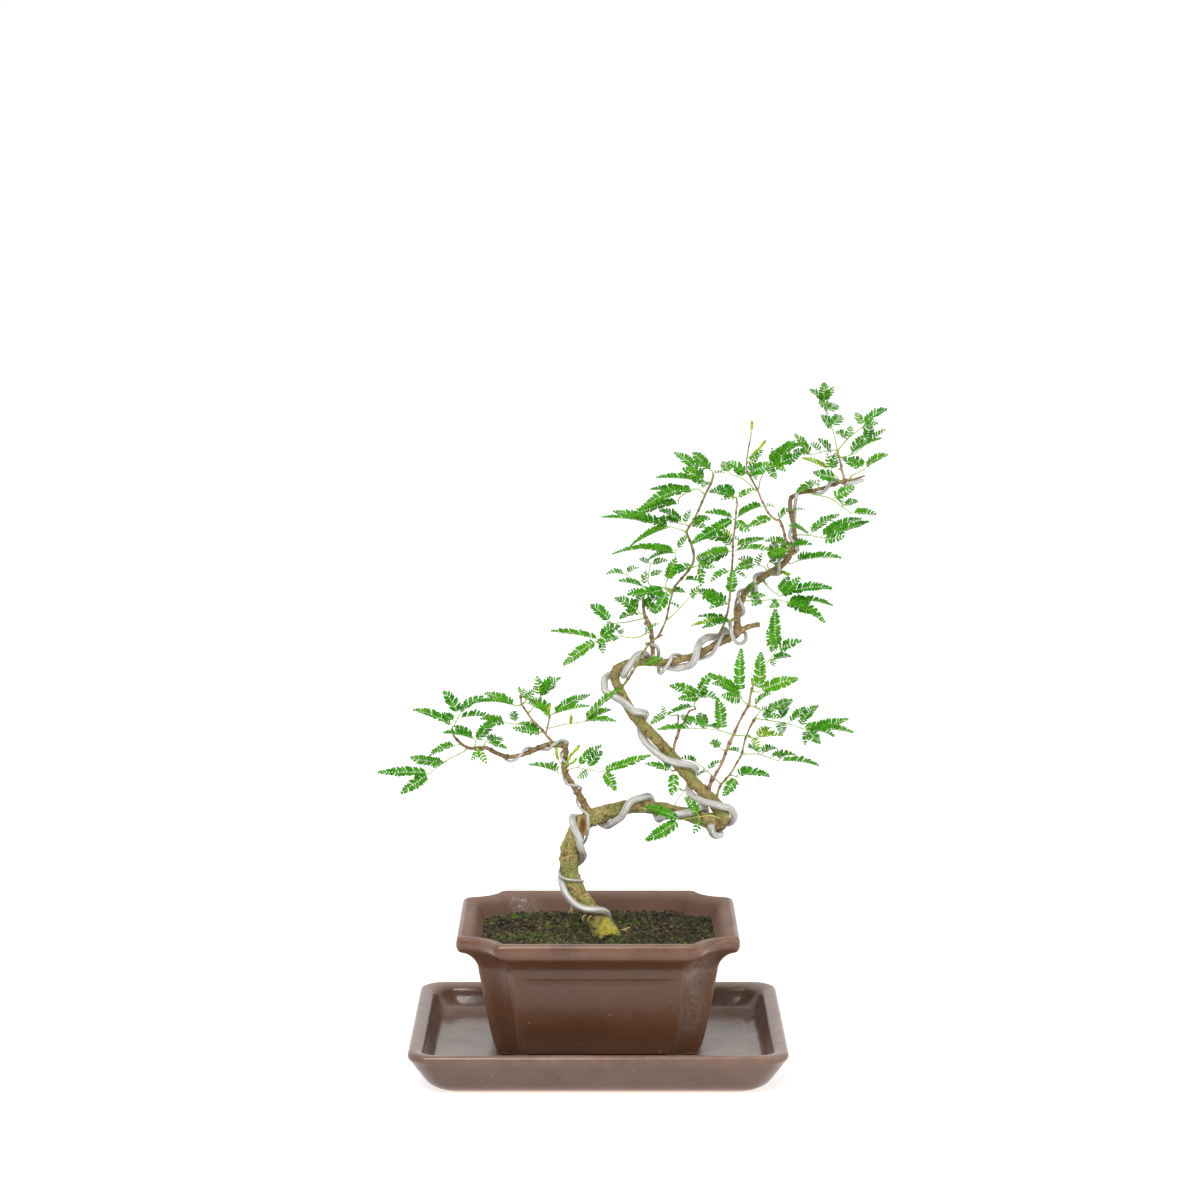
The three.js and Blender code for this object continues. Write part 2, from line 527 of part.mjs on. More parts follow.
// A leafy twig grows from the wood: its stem, short spurs, and the leaves fused to it.
const TWIGS = {
  twig_left_branch: {
    stem: [[-24, -1, 175.5, 1], [-28, -1.5, 180.3, 0.8], [-31, -2, 184, 0.75], [-35, -2.5, 188, 0.7],
      [-38, -3, 192.3, 0.65], [-41, -3, 197.3, 0.6], [-41.5, -3, 202, 0.8]],
    spurs: [[[-28, -1.5, 181, 0.6], [-26.8, -2, 186, 0.5], [-26, -2, 190, 0.45]]],
    leaves: [
      { stalk: [[-35.5, -3, 188], [-43, -6, 186], [-49, -8, 187]],
        sides: [[1, -61, -16, 184.5, 45], [0.6, -45, 4, 192.5, 40]] },
      { stalk: [[-28.8, -2.2, 181.3], [-30, -4, 181.5]],
        sides: [[1, -44.5, -12, 183.5, 55], [1, -42, 10, 186, 30]] },
      { stalk: [[-41.5, -3.5, 196.5], [-44, -4.5, 196]],
        sides: [[1, -66, -10, 197.5, 15], [1, -60, 6, 202.5, 45]] },
      { stalk: [[-40, -3.5, 197.5], [-39, -5, 198.5]],
        sides: [[1, -34.5, -10, 205, 80], [1, -40, 2, 205, 70], [1, -27, -12, 190.3, 20]] },
      { stalk: [[-36.5, -3, 193], [-33.5, -4, 197.5], [-31, -5, 201]],
        sides: [[1, -32.5, -8, 211, 60], [1, -26, -2, 211, 60], [1, -21, -10, 210.5, 35],
          [1, -23.5, 4, 207.5, 30]] },
      { stalk: [[-26, -2, 190.8], [-24.5, -3, 191.3]],
        sides: [[1, -5.5, 8, 201.5, 40], [1, -6, -12, 195.5, 25], [1, -34, 6, 199, 60]] },
      { stalk: [[-27, -3, 183.8], [-20, -6, 185.5], [-7, -10, 187.5]],
        sides: [[1, 12, -16, 205, 35], [1, 6, -2, 193.5, 25], [1, 8.5, -24, 187.5, 30]] },
    ],
  },
  twig_diagonal_left: {
    stem: [[40.5, 4.5, 170, 1], [41, 4, 175, 0.8], [42.8, 3.5, 180.5, 0.9], [44, 3, 184, 0.6],
      [46, 2.5, 187], [47.5, 2, 190.5, 0.6], [49, 2, 193.2], [52.3, 2, 194.3, 0.5]],
    spurs: [[[42.8, 3.5, 180.5, 0.6], [42.8, 3.5, 185, 0.5], [43, 3.5, 190.5, 0.45]]],
    leaves: [
      { stalk: [[52, 2, 195], [51.3, 1.5, 196.5], [54, 0, 201]],
        sides: [[0.15, 38.5, -4, 191.7, 15], [1, 44, -10, 199.7, 60], [1, 39.5, 6, 206.7, 60],
          [1, 60, -6, 213, 60], [1, 62.5, -14, 200, 40]] },
      { stalk: [[42.8, 3.5, 191], [39.5, 3, 190.8], [36, 2, 191.3]],
        sides: [[1, 29, -6, 186.5, 40]] },
    ],
  },
  leaf_diagonal_low: {
    stem: [[44, 4.5, 163, 0.6], [41.8, 4, 161, 0.55], [40, 2, 160.5, 0.5]],
    spurs: [],
    leaves: [
      { stalk: [[40, 2, 160.5]],
        sides: [[1, 26.5, -2, 164, 35], [1, 39.5, -6, 148.3, 90], [1, 33.5, 10, 167, 20]] },
    ],
  },
  twig_diagonal_right: {
    stem: [[59.5, 2.5, 147, 1.7], [60, 2.5, 152.5, 1.3], [62.3, 2, 157, 1], [64.5, 1.5, 161, 0.9],
      [66.7, 1, 165.5, 1], [68.7, 0.5, 171, 0.8], [70.5, 0, 175.5, 1.2], [72.5, -0.5, 180, 0.9],
      [75.5, -1, 187, 0.75], [78.3, -1.5, 192.5, 0.75], [80.7, -2, 196.5, 0.9], [81.4, -2, 201, 0.7],
      [82.4, -2.5, 206, 0.8]],
    spurs: [
      [[82.4, -2.5, 206, 0.5], [85, -3, 209.3, 0.45], [88, -3.5, 211.5, 0.4]],
      [[60, 2.5, 154, 0.7], [61, 2.4, 158, 0.6]],
    ],
    leaves: [
      { stalk: [[68.3, 0.5, 171.5], [66, 0, 172.5]],
        sides: [[1, 60.3, -6, 175.3, 15], [1, 61.5, 8, 177, 60]] },
      { stalk: [[73.7, -1, 180], [80, -3, 179.7], [84, -4, 178.3]],
        sides: [[1, 98, -4, 179.6, 15],
          [1, 91.5, 8, 183.7, 20]] },
      { stalk: [[72, -1, 180.5], [66, -2, 182.3], [57, -3, 183.7], [50.5, -3, 183.8]],
        sides: [[0.3, 64, -6, 199.3, 85], [0.3, 58, 10, 184.8, 20], [0.65, 48.3, -8, 188.7, 40],
          [0.65, 54, 12, 191.5, 60], [1, 33.5, -10, 183, 25]] },
      { stalk: [[80, -2, 197], [77, -3, 199.5], [76.5, -4, 203]],
        sides: [[1, 76.3, -8, 226, 75], [1, 60, -2, 212.5, 45], [0.6, 67, -14, 201.5, 75],
          [0.6, 62, 10, 208, 30]] },
      { stalk: [[82, -2.5, 195.8], [86, -4, 194.5], [89, -5, 193]],
        sides: [[0.2, 91.5, -10, 202, 30], [1, 90.5, -14, 188.8, 85], [1, 103.5, 10, 199, 60]] },
      { stalk: [[83.5, -3.5, 203.8], [86, -5, 203.5]],
        sides: [[1, 105.5, -8, 210.5, 75], [1, 86.8, 2, 224, 75]] },
      { stalk: [[88.5, -4, 212.3], [89.5, -4, 218], [92.5, -4, 222], [95.5, -4, 226.5]],
        sides: [[1, 94.5, 2, 247, 75], [1, 107.5, -10, 231, 60], [1, 90.3, -12, 236, 60],
          [0.6, 102.5, 6, 222.7, 35]] },
    ],
  },
  twig_elbow: {
    stem: [[63.5, 2, 143, 0.9], [64.5, 2.5, 149, 0.7], [65.8, 3, 152.5, 0.7], [69, 4, 156.3, 0.7],
      [72, 5, 160.3, 0.6], [74.5, 5.5, 165, 0.6], [77, 6, 169.5, 0.7], [78, 6.5, 174, 0.55],
      [79.3, 6.5, 179, 0.55], [81.5, 7, 184.5, 0.6], [83.7, 7, 188.7, 0.9]],
    spurs: [],
    leaves: [
      { stalk: [[65.2, 4, 154], [61, 6, 158], [58.5, 7, 160.5], [53, 7, 165]],
        sides: [[0.55, 65.3, 12, 165.5, 20], [1, 44.5, 12, 167, 30]] },
      { stalk: [[71, 5, 158.2], [74.8, 2, 157.3]],
        sides: [[1, 68, -6, 147.8, 85], [1, 91, -8, 157.5, 35], [1, 82, 12, 162, 30]] },
      { stalk: [[78.5, 6, 169.8], [86, 4, 169.6], [91, 2, 168], [97, 0, 165.8]],
        sides: [[0.45, 95, 14, 172.5, 30], [0.45, 81, -8, 173, 20], [0.7, 105.5, 12, 169, 25],
          [1, 117.3, -6, 163.5, 20], [1, 102, 14, 169, 20]] },
      { stalk: [[76.8, 7, 170.5]],
        sides: [[1, 70, 14, 171.8, 20]] },
      { stalk: [[84.3, 6.5, 189], [95, 3, 187.5], [103, 0, 186], [110, -2, 183.3], [112.5, -3, 182]],
        sides: [[0.45, 98.7, -10, 181.5, 90], [0.45, 101, 12, 196, 30], [0.6, 110.5, 10, 194.7, 35],
          [0.85, 133, 4, 188.5, 45], [0.85, 117.3, 14, 195.7, 40], [1, 135.5, -8, 181.5, 25],
          [1, 118.5, -18, 176, 80], [1, 111, -10, 175.5, 30]] },
      { stalk: [[84.5, 7, 190], [87, 7, 193.5]],
        sides: [[1, 92, 14, 194, 40]] },
    ],
  },
  twig_upper_left: {
    stem: [[29.5, 0, 219, 1.5], [29.2, 0.5, 226, 1.3], [28.8, 1, 231, 1.3], [28.3, 1.5, 237, 1.3],
      [26.8, 2, 241.5, 1.3], [25, 2.5, 244.5, 1], [24.3, 3, 249, 0.9], [23.9, 3, 254, 0.8]],
    spurs: [[[26.8, 2, 239.5, 1], [24.7, 1.5, 241, 0.9]]],
    leaves: [
      { stalk: [[24, 3, 254.5], [25, 2, 257]],
        sides: [[1, 17, -2, 258, 30], [1, 19, 6, 249, 40], [1, 30, -4, 247, 60]] },
      { stalk: [[24.3, 1.5, 246], [22.5, 0, 246.3]],
        sides: [[1, 12.5, -8, 243.7, 40], [1, 10, 8, 254, 50]] },
      { stalk: [[24, 1.5, 243.5], [14, -2, 241.3], [7, -4, 240.8]],
        sides: [[1, -3, 2, 250, 55]] },
      { stalk: [[27, 0, 235.8], [20, -3, 233], [8, -6, 234], [0, -8, 231.5]],
        sides: [[0.1, 31.5, -6, 240, 30], [0.55, 11.3, 6, 236.7, 25], [1, 10.5, -4, 239, 60], [1, -17.5, -10, 219, 60], [1, -24, -4, 236.3, 25],
          [0.6, 0.5, -14, 230.5, 40]] },
    ],
  },
  twig_crown_left: {
    stem: [[12, -1, 205, 0.8], [15.5, -5, 210], [18.3, -7.6, 214.5, 0.75], [21, -8.4, 219], [23, -8.2, 223.5],
      [25, -6.5, 226.5], [28.3, -4.5, 231, 0.65], [32, -3, 233.6], [34, -2.5, 237.5], [36, -2, 242],
      [37, -2, 246], [38, -2, 251, 0.6], [39, -2, 255], [40.5, -1.5, 260], [44, -1, 264.5],
      [47.5, -0.5, 268.5], [50.3, 0, 273], [50.9, 0, 277, 0.8], [50, 0, 281.5], [48.5, 0, 286, 0.8],
      [47, 0, 289.8, 0.9], [48.5, 0, 293, 0.6], [50.7, 0, 296.5], [52.5, 0, 300, 0.6], [54.3, 0, 304],
      [56, 0, 308, 0.7], [58, 0, 312.5], [60, 0, 316.5, 0.7], [61, 0, 319.8, 0.6]],
    spurs: [[[28.3, -4.5, 231, 0.6], [34.5, -4.5, 234.7, 0.5]]],
    leaves: [
      { stalk: [[61, 0, 320.3], [60.5, 0, 322.5]],
        sides: [[1, 52.3, -6, 326.5, 35], [1, 51, 8, 331.7, 60]] },
      { stalk: [[58.8, -1, 316.6], [56, -2, 316.8]],
        sides: [[1, 32, -8, 318.8, 20], [1, 41.3, 8, 331.7, 60]] },
      { stalk: [[56.3, 0, 310.3], [52.5, -2, 313], [47, -4, 311], [43, -5, 308], [42.7, -5, 305]],
        sides: [[0.35, 28.5, 8, 312.5, 30], [0.35, 24, -16, 303, 50], [0.9, 16, -12, 298, 45]] },
      { stalk: [[44.3, -1, 291], [40, -2, 292.3], [37.5, -3, 293]],
        sides: [[1, 3, -10, 297.7, 25], [1, 22, -16, 285.5, 30],
          [1, 18, 10, 282.7, 20]] },
      { stalk: [[48, 0, 293.3], [45, -1, 294]],
        sides: [[1, 33.5, -8, 301, 45], [1, 32.3, 6, 297, 30], [1, 48.7, 4, 301, 60]] },
      { stalk: [[49.5, 0, 293.8]],
        sides: [[1, 58.5, -4, 296.7, 45], [1, 56.5, -8, 292.3, 50], [1, 57.5, 12, 298, 30]] },
      { stalk: [[38.5, -3, 257.5], [36, -5, 261], [38, -6, 268], [41, -6, 276], [41.5, -6, 280]],
        sides: [[1, 47, -2, 287.5, 35], [1, 22, -12, 282, 45], [1, 9, 4, 278.3, 25], [0.3, 41, -10, 275, 70]] },
      { stalk: [[39.3, -2, 256], [36.5, -4, 259]],
        sides: [[1, 30.5, -14, 247, 90], [1, 17, -8, 256.3, 45], [1, 25, 8, 252, 50],
          [1, 45.5, 4, 258, 40]] },
      { stalk: [[36, -1, 260], [30, 0, 259.5], [24, 2, 260.5], [19, 0, 264], [15, -2, 267]],
        sides: [[0.5, 12, -8, 263.3, 25], [0.5, 25.3, 8, 268.3, 30], [1, 5.5, -6, 267.5, 25],
          [1, 21, 6, 270.5, 25]] },
      { stalk: [[33, 1, 260.5], [27, 4, 262], [27, 5, 268], [28, 5, 273]],
        sides: [[1, 36, 0, 274.5, 50]] },
      { stalk: [[50.5, -1, 271], [53, -3, 272]],
        sides: [[1, 57, 9, 277, 70], [1, 54.7, -8, 262, 30],
          [0.5, 38.5, -4, 266.5, 40]] },
      { stalk: [[44.5, -0.5, 264]],
        sides: [[1, 55.5, 4, 263, 20]] },
      { stalk: [[37, -2, 243], [43, -3, 248.5], [50, -4, 255.5], [54, -4, 257]],
        sides: [[0.75, 53.3, -10, 260.3, 60], [1, 65, -3, 254, 50],
          [1, 63.5, -8, 251, 60]] },
    ],
  },
  twig_crown_middle: {
    stem: [[64.9, 3.7, 230, 0.8], [64.8, 3.3, 235, 0.75], [67, 2, 240], [68.6, 1, 245, 0.7],
      [69.6, 0, 250], [70.2, -1, 256], [70.5, -2, 262, 0.65], [71, -2.5, 268], [71.4, -3, 274],
      [71.6, -3, 280, 0.6], [71.8, -3, 286], [72.5, -3, 291], [73, -3, 297, 0.55], [73.3, -3, 302],
      [73.8, -3, 305], [73.2, -3, 308.5, 0.45]],
    spurs: [[[71.2, -2.8, 271, 0.7], [71.4, -4.2, 272.8, 0.6]]],
    leaves: [
      { stalk: [[69.7, -0.5, 252]],
        sides: [[1, 60.5, -8, 249, 35], [1, 54, 12, 258.5, 60]] },
      { stalk: [[70.2, -1.5, 256]],
        sides: [[1, 71.5, -7, 268.5, 75]] },
      { stalk: [[70.8, -2.5, 269.5]],
        sides: [[1, 61, -8, 264, 30]] },
      { stalk: [[71.5, -3, 279.5]],
        sides: [[1, 55.5, -10, 277, 30], [1, 92, -13, 279.5, 25]] },
      { stalk: [[71.7, -3, 282]],
        sides: [[1, 87.3, 4, 286.2, 30], [1, 65.5, 4, 287, 60]] },
      { stalk: [[71.8, -3, 286.5]],
        sides: [[1, 58.5, 6, 287, 60]] },
      { stalk: [[72.8, -3, 297]],
        sides: [[1, 58, -6, 300, 25], [1, 50.7, -8, 284, 50], [1, 79.5, -10, 291, 85],
          [1, 84, -8, 303, 30]] },
      { stalk: [[73.2, -3, 308]],
        sides: [[1, 60, 4, 311.5, 50], [1, 81.7, -4, 312.5, 50]] },
    ],
  },
  twig_crown_right: {
    stem: [[103.8, 5.6, 281.4, 0.9], [99.9, 4.8, 285.5, 0.9], [98.7, 4.5, 290, 0.8], [97.6, 4, 293.5],
      [96.3, 3.5, 296, 0.9], [94.5, 3, 296.5], [92, 2.5, 298.3, 0.65], [90, 2, 300.5], [88.3, 2, 304, 0.6],
      [86.5, 1.5, 307.5], [84.7, 1, 312, 0.6], [82.5, 1, 316], [80.3, 1.5, 319.8], [79, 2, 321.8, 0.6],
      [78.6, 2, 326, 0.45], [79, 2, 331], [79.7, 2, 335.5], [80.5, 2, 339.5], [81, 2, 343, 0.4]],
    spurs: [[[79, 2, 321.5, 0.5], [76.3, 2, 321, 0.5]]],
    leaves: [
      { stalk: [[85, 1, 313.3], [86, 1, 318], [88.7, 0, 323.3], [91.3, 0, 327], [97, -1, 329.5]],
        sides: [[0.6, 93.7, -8, 319, 60], [0.6, 97.5, 8, 324.5, 30], [0.8, 92, -6, 334, 60],
          [1, 100.3, 2, 337.5, 45], [1, 103.5, -13, 337.5, 60]] },
      { stalk: [[79.2, 1.5, 321.3]],
        sides: [[1, 83.7, -8, 318.3, 50]] },
      { stalk: [[79.2, 2, 327]],
        sides: [[1, 86.5, 4, 333, 50]] },
      { stalk: [[84, 0, 312], [80, -2, 315.7], [76, -4, 318.7], [70, -4, 320.7]],
        sides: [[0.6, 73, 6, 324, 60], [1, 66, 6, 327, 60]] },
      { stalk: [[88.5, 2, 303.5]],
        sides: [[1, 76, 9, 301.5, 40]] },
      { stalk: [[92, 2.5, 298.3]],
        sides: [[1, 80.3, -8, 293, 50]] },
      { stalk: [[95.5, 3, 296.5]],
        sides: [[1, 101, -4, 302, 50]] },
    ],
  },
  twig_crown_tip: {
    stem: [[130.3, 4, 316.5, 0.8], [130, 4, 320, 0.8], [129, 4, 323], [128.6, 4, 326, 0.7], [127.8, 4, 329],
      [126.8, 4, 332.5, 0.5]],
    spurs: [[[128.9, 4, 323.3, 0.6], [127.4, 3.6, 323.6, 0.5]]],
    leaves: [
      { stalk: [[129, 3.5, 330], [135, 2, 331.5], [142, 1, 337]],
        sides: [[0.3, 140, 10, 340.5, 45], [0.3, 149, -8, 339.3, 20], [1, 151, -4, 343.7, 40],
          [1, 143.7, 8, 346.5, 45]] },
      { stalk: [[127.3, 3.5, 334], [133, 2, 340.5], [140, 1, 346]],
        sides: [[0.4, 126.3, -6, 342.8, 60], [0.4, 133.5, 8, 346, 60], [1, 151.3, -2, 354.7, 40],
          [1, 136.3, 8, 353, 60], [1, 147, -8, 347.5, 50]] },
      { stalk: [[126, 3.5, 333.5], [120, 2, 333], [113, 0, 331]],
        sides: [[0.2, 117, -8, 338.7, 60], [0.6, 113, 8, 337, 50], [1, 104.7, -4, 341, 45],
          [1, 104, 6, 333, 45]] },
      { stalk: [[126.5, 4, 333.5], [125, 4, 341], [122, 4, 350], [118.8, 4, 360.3]],
        sides: [[0.45, 118.3, -8, 351.5, 70], [0.45, 127.8, 14, 351.8, 70], [0.75, 117, -8, 359, 70],
          [0.75, 126.3, 14, 357, 70], [1, 112.3, -6, 365, 60], [1, 123.7, 8, 366.5, 60],
          [1, 119, -4, 368.3, 60]] },
    ],
  },
};

function pathLength(points) {
  return points.slice(1).reduce((total, point, index) => total + point.distanceTo(points[index]), 0);
}

function alongPath(points, share) {
  let left = share * pathLength(points);
  for (let index = 0; index + 1 < points.length; index += 1) {
    const length = points[index].distanceTo(points[index + 1]);
    if (left <= length) {
      return points[index].clone().lerp(points[index + 1], left / length);
    }
    left -= length;
  }
  return points[points.length - 1].clone();
}

// The place on a limb's centre line nearest to a point.
function rootOn(limbs, point) {
  let best = null;
  for (const keys of limbs) {
    const places = keys.map(seen);
    for (let index = 0; index + 1 < places.length; index += 1) {
      const near = new THREE.Vector3();
      new THREE.Line3(places[index], places[index + 1]).closestPointToPoint(point, true, near);
      if (best === null || near.distanceTo(point) < best.distanceTo(point)) {
        best = near;
      }
    }
  }
  return best;
}

// A slim three-sided stalk.
function stalkBody(points, thick, thin) {
  const rings = points.map((place, index) => {
    const ahead = points[Math.min(index + 1, points.length - 1)].clone();
    ahead.sub(points[Math.max(index - 1, 0)]).normalize();
    const up = new THREE.Vector3(0, -0.6, 0.8);
    up.addScaledVector(ahead, -up.dot(ahead)).normalize();
    const side = new THREE.Vector3().crossVectors(ahead, up);
    const radius = thick + (thin - thick) * index / (points.length - 1);
    return [0, 1, 2].map((corner) => {
      const angle = 2 * Math.PI * corner / 3;
      const out = up.clone().multiplyScalar(Math.cos(angle)).addScaledVector(side, Math.sin(angle));
      return place.clone().addScaledVector(out, radius);
    });
  });
  return solid(loft(rings));
}

// A side stalk with a row of leaflets on each side, as one thin body. It is bare next to the stalk.
function featherBody(from, tip, tilt) {
  const ahead = tip.clone().sub(from);
  const length = ahead.length();
  ahead.normalize();
  const angle = THREE.MathUtils.degToRad(tilt);
  const up = new THREE.Vector3(0, -Math.sin(angle), Math.cos(angle));
  up.addScaledVector(ahead, -up.dot(ahead)).normalize();
  const side = new THREE.Vector3().crossVectors(ahead, up);
  const pairs = Math.round(THREE.MathUtils.clamp(length / 10, 1, 3));
  const bare = Math.min(BARE_STALK, 0.3 * length);
  const reach = Math.min(LEAFLET_LENGTH, 0.3 * length);
  const corners = [];
  for (let knot = -1; knot <= pairs; knot += 1) {
    const along = knot < 0 ? 0 : bare + (length - bare) * knot / pairs;
    const share = along / length;
    const place = from.clone().addScaledVector(ahead, along);
    place.addScaledVector(up, 0.2 * length * share * (1 - share));
    const thick = knot < 0 ? 0.15 : 1 - 0.25 * share;
    corners.push(place.clone().addScaledVector(up, 0.55 * thick));
    corners.push(place.clone().addScaledVector(up, -0.35 * thick).addScaledVector(side, 0.6 * thick));
    corners.push(place.clone().addScaledVector(up, -0.35 * thick).addScaledVector(side, -0.6 * thick));
  }
  const faces = [0, 2, 1];
  for (let knot = 0; knot <= pairs; knot += 1) {
    const low = 3 * knot;
    faces.push(low + 1, low + 2, low + 5, low + 1, low + 5, low + 4);
    for (const [left, right, toward] of [[low, low + 1, 1], [low + 2, low, -1]]) {
      const quad = [left, right, right + 3, left + 3];
      if (knot === 0) {
        faces.push(quad[0], quad[1], quad[2], quad[0], quad[2], quad[3]);
        continue;
      }
      const apex = corners.length;
      const shrink = knot === pairs ? 0.75 : 1;
      const place = middle(quad.map((corner) => corners[corner]));
      place.addScaledVector(side, toward * reach * shrink).addScaledVector(ahead, 0.3 * length / pairs);
      corners.push(place);
      quad.forEach((corner, index) => faces.push(corner, quad[(index + 1) % 4], apex));
    }
  }
  const end = 3 * pairs + 3;
  faces.push(end, end + 1, end + 2);
  return solid(meshOf(corners, faces));
}

// Side stalks that share a place on the stalk start one behind the other, a little apart.
function leafBodies(limbs, leaf) {
  const stalk = leaf.stalk.map(seen);
  const path = [rootOn(limbs, stalk[0]), ...stalk];
  const lead = path[0].distanceTo(path[1]);
  const whole = pathLength(path);
  const taken = [];
  const feathers = leaf.sides.map(([share, x, y, z, tilt]) => {
    let along = lead + share * (whole - lead);
    while (taken.some((other) => Math.abs(other - along) < STAGGER)) {
      along -= STAGGER;
    }
    taken.push(along);
    return featherBody(alongPath(path, Math.max(along, 0) / whole), seen([x, y, z]), tilt);
  });
  return [stalkBody(path, 0.7, 0.55), ...feathers];
}

// Only the body that holds the root stays; slivers that a cut leaves beyond the wood are dropped.
function largest(body) {
  const pieces = body.decompose();
  return pieces.reduce((best, piece) => (piece.volume() > best.volume() ? piece : best));
}

function trunkLeaf(leaf, jacket) {
  return largest(join(leafBodies([MAIN, LEFT_BRANCH], leaf)).subtract(jacket));
}

function leafyTwig(twig, jacket) {
  const limbs = [twig.stem, ...twig.spurs];
  const bodies = [
    limb(twig.stem, 4),
    ...twig.spurs.map((spur) => limb(spur, 4)),
    ...twig.leaves.flatMap((leaf) => leafBodies(limbs, leaf)),
  ];
  return largest(join(bodies).subtract(jacket));
}

// Finishes

const CERAMIC = { color: 0x74594e, roughness: 0.62, metalness: 0 };
const PLASTIC = { color: 0x2b2b2b, roughness: 0.7, metalness: 0 };
const EARTH = { color: 0x2d2a1e, roughness: 0.95, metalness: 0 };
const BARK = { color: 0x7a7440, roughness: 0.8, metalness: 0 };
const WIRE = { color: 0xa8a7a2, roughness: 0.42, metalness: 1 };
const LEAF = { color: 0x4ba324, roughness: 0.55, metalness: 0 };

const tree = new THREE.Group();

function addPiece(name, body, finish) {
  const mesh = new THREE.Mesh(geometryOf(body), new THREE.MeshStandardMaterial(finish));
  mesh.name = name;
  tree.add(mesh);
}

addPiece("saucer", saucer(), CERAMIC);
addPiece("pot", pot(), CERAMIC);
addPiece("drain_mesh_left", drainMesh(-DRAIN.x), PLASTIC);
addPiece("drain_mesh_right", drainMesh(DRAIN.x), PLASTIC);
addPiece("soil", soil(), EARTH);
addPiece("trunk", wood(), BARK);
addPiece("trunk_wire_lower", lowerTrunkWire(), WIRE);
addPiece("trunk_wire_upper", upperTrunkWire(), WIRE);
addPiece("upper_thin_wire", upperThinWire(), WIRE);
addPiece("branch_wire", leftBranchWire(), WIRE);

const jacket = wood(1.2 * CLEARANCE);
for (const [name, leaf] of Object.entries(TRUNK_LEAVES)) {
  addPiece(name, trunkLeaf(leaf, jacket), LEAF);
}
for (const [name, twig] of Object.entries(TWIGS)) {
  addPiece(name, leafyTwig(twig, jacket), LEAF);
}

export default tree;
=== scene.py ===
"""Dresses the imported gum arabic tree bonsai: its wood, wires, leaves, soil, pot and saucer, with their finishes."""

import math
import random

import bpy
import numpy as np
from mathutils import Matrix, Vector, noise


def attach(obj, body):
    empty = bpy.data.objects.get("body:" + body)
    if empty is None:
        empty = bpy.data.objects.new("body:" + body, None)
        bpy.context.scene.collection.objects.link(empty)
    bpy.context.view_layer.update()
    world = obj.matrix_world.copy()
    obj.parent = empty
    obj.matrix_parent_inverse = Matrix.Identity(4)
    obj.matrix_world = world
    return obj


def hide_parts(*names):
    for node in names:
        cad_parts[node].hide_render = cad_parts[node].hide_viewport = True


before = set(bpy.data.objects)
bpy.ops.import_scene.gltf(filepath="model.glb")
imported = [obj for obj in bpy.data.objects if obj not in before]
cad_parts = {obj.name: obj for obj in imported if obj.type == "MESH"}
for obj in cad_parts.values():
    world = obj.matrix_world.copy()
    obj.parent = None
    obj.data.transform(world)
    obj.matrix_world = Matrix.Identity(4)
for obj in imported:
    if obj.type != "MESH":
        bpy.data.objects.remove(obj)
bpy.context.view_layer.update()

bl_info = {
    "name": "Gum arabic tree bonsai",
    "version": (1, 0, 0),
    "blender": (4, 5, 0),
    "location": "3D View > Sidebar > Bonsai",
    "description": "Makes a wired bonsai with twice-cut leaves in its ceramic pot",
    "category": "Add Mesh",
}

MM = 0.001
SEED = 7


def table(text):
    """Rows of numbers. In the text a row is one word, with commas between its numbers."""
    return [tuple(float(number) for number in word.split(",")) for word in text.split()]


def growth_table(text):
    """{name: (limbs, leaves)}. In the text a limb follows the word stem or spur, and a leaf the word leaf: its
    stalk, and then its side stalks after >, as (share of the stalk where it starts, x, depth, z, tilt)."""
    plants = {}
    for word in text.split():
        if word[0].isalpha() and word not in ("stem", "spur", "leaf"):
            limbs, leaves = plants[word] = [], []
        elif word == "leaf":
            rows = []
            leaves.append((rows, []))
        elif word == ">":
            rows = leaves[-1][1]
        elif word[0].isalpha():
            rows = []
            limbs.append(rows)
        else:
            rows += table(word)
    return plants


# Places on the tree are drawn on the middle plane y = 0 and slid along the line of sight to their depth y.
EYE_X = 1
EYE_DISTANCE = 1680
EYE_HEIGHT = 512
# The camera itself, in metres, worked out from the corners of the pot in the photo
EYE = (0.001, -1.6802, 0.5120)
EYE_DOWN_DEGREES = 8.75

# Pot and saucer, in millimetres
POT = {"half_x": 75, "half_y": 60.5, "cut_x": 20, "cut_y": 16, "shrink": 0.31, "scoop": 0.9}
SAUCER = {"half_x": 100, "half_y": 73.5, "cut_x": 10.5, "cut_y": 10.5, "shrink": 0.1, "scoop": -0.8}
# The tooled line: its height, its depth and width, the swelling below it, and how far it reaches and fades out
CREASE = {"z": 57.3, "depth": 0.5, "width": 0.9, "swell": 0.16, "below": 2.4, "swell_width": 1.2, "reach": 46,
          "fade": 12}
POT_FOOT = 11.3
POT_UNDERSIDE = 15.2
POT_FLOOR = 22
DRAIN_X = 25
DRAIN_RADIUS = 7
DRAIN_MESH = 24
DRAIN_THICKNESS = 1.2
CHANNEL_X = 37
CHANNEL_Y = 25
SOIL_EDGE = 70.2
SOIL_CROWN = 71.6
CLEARANCE = 0.3
SOIL_GAP = 1.6 * CLEARANCE
SOIL_MESH = 2.6

# Wall profiles as (inset from the rim's outline, height, wear of the finish there)
POT_OUTSIDE = table("""
    25,11.3,1 22.3,12.3,0.7 19.8,16.5,0.1 11.8,58,0 10.9,63.6,0 8.4,67.4,0 5,69.8,0 1.7,70.9,0.3 0.2,73,0.4
    0.3,78.4,0.8 1.9,80,1
""")
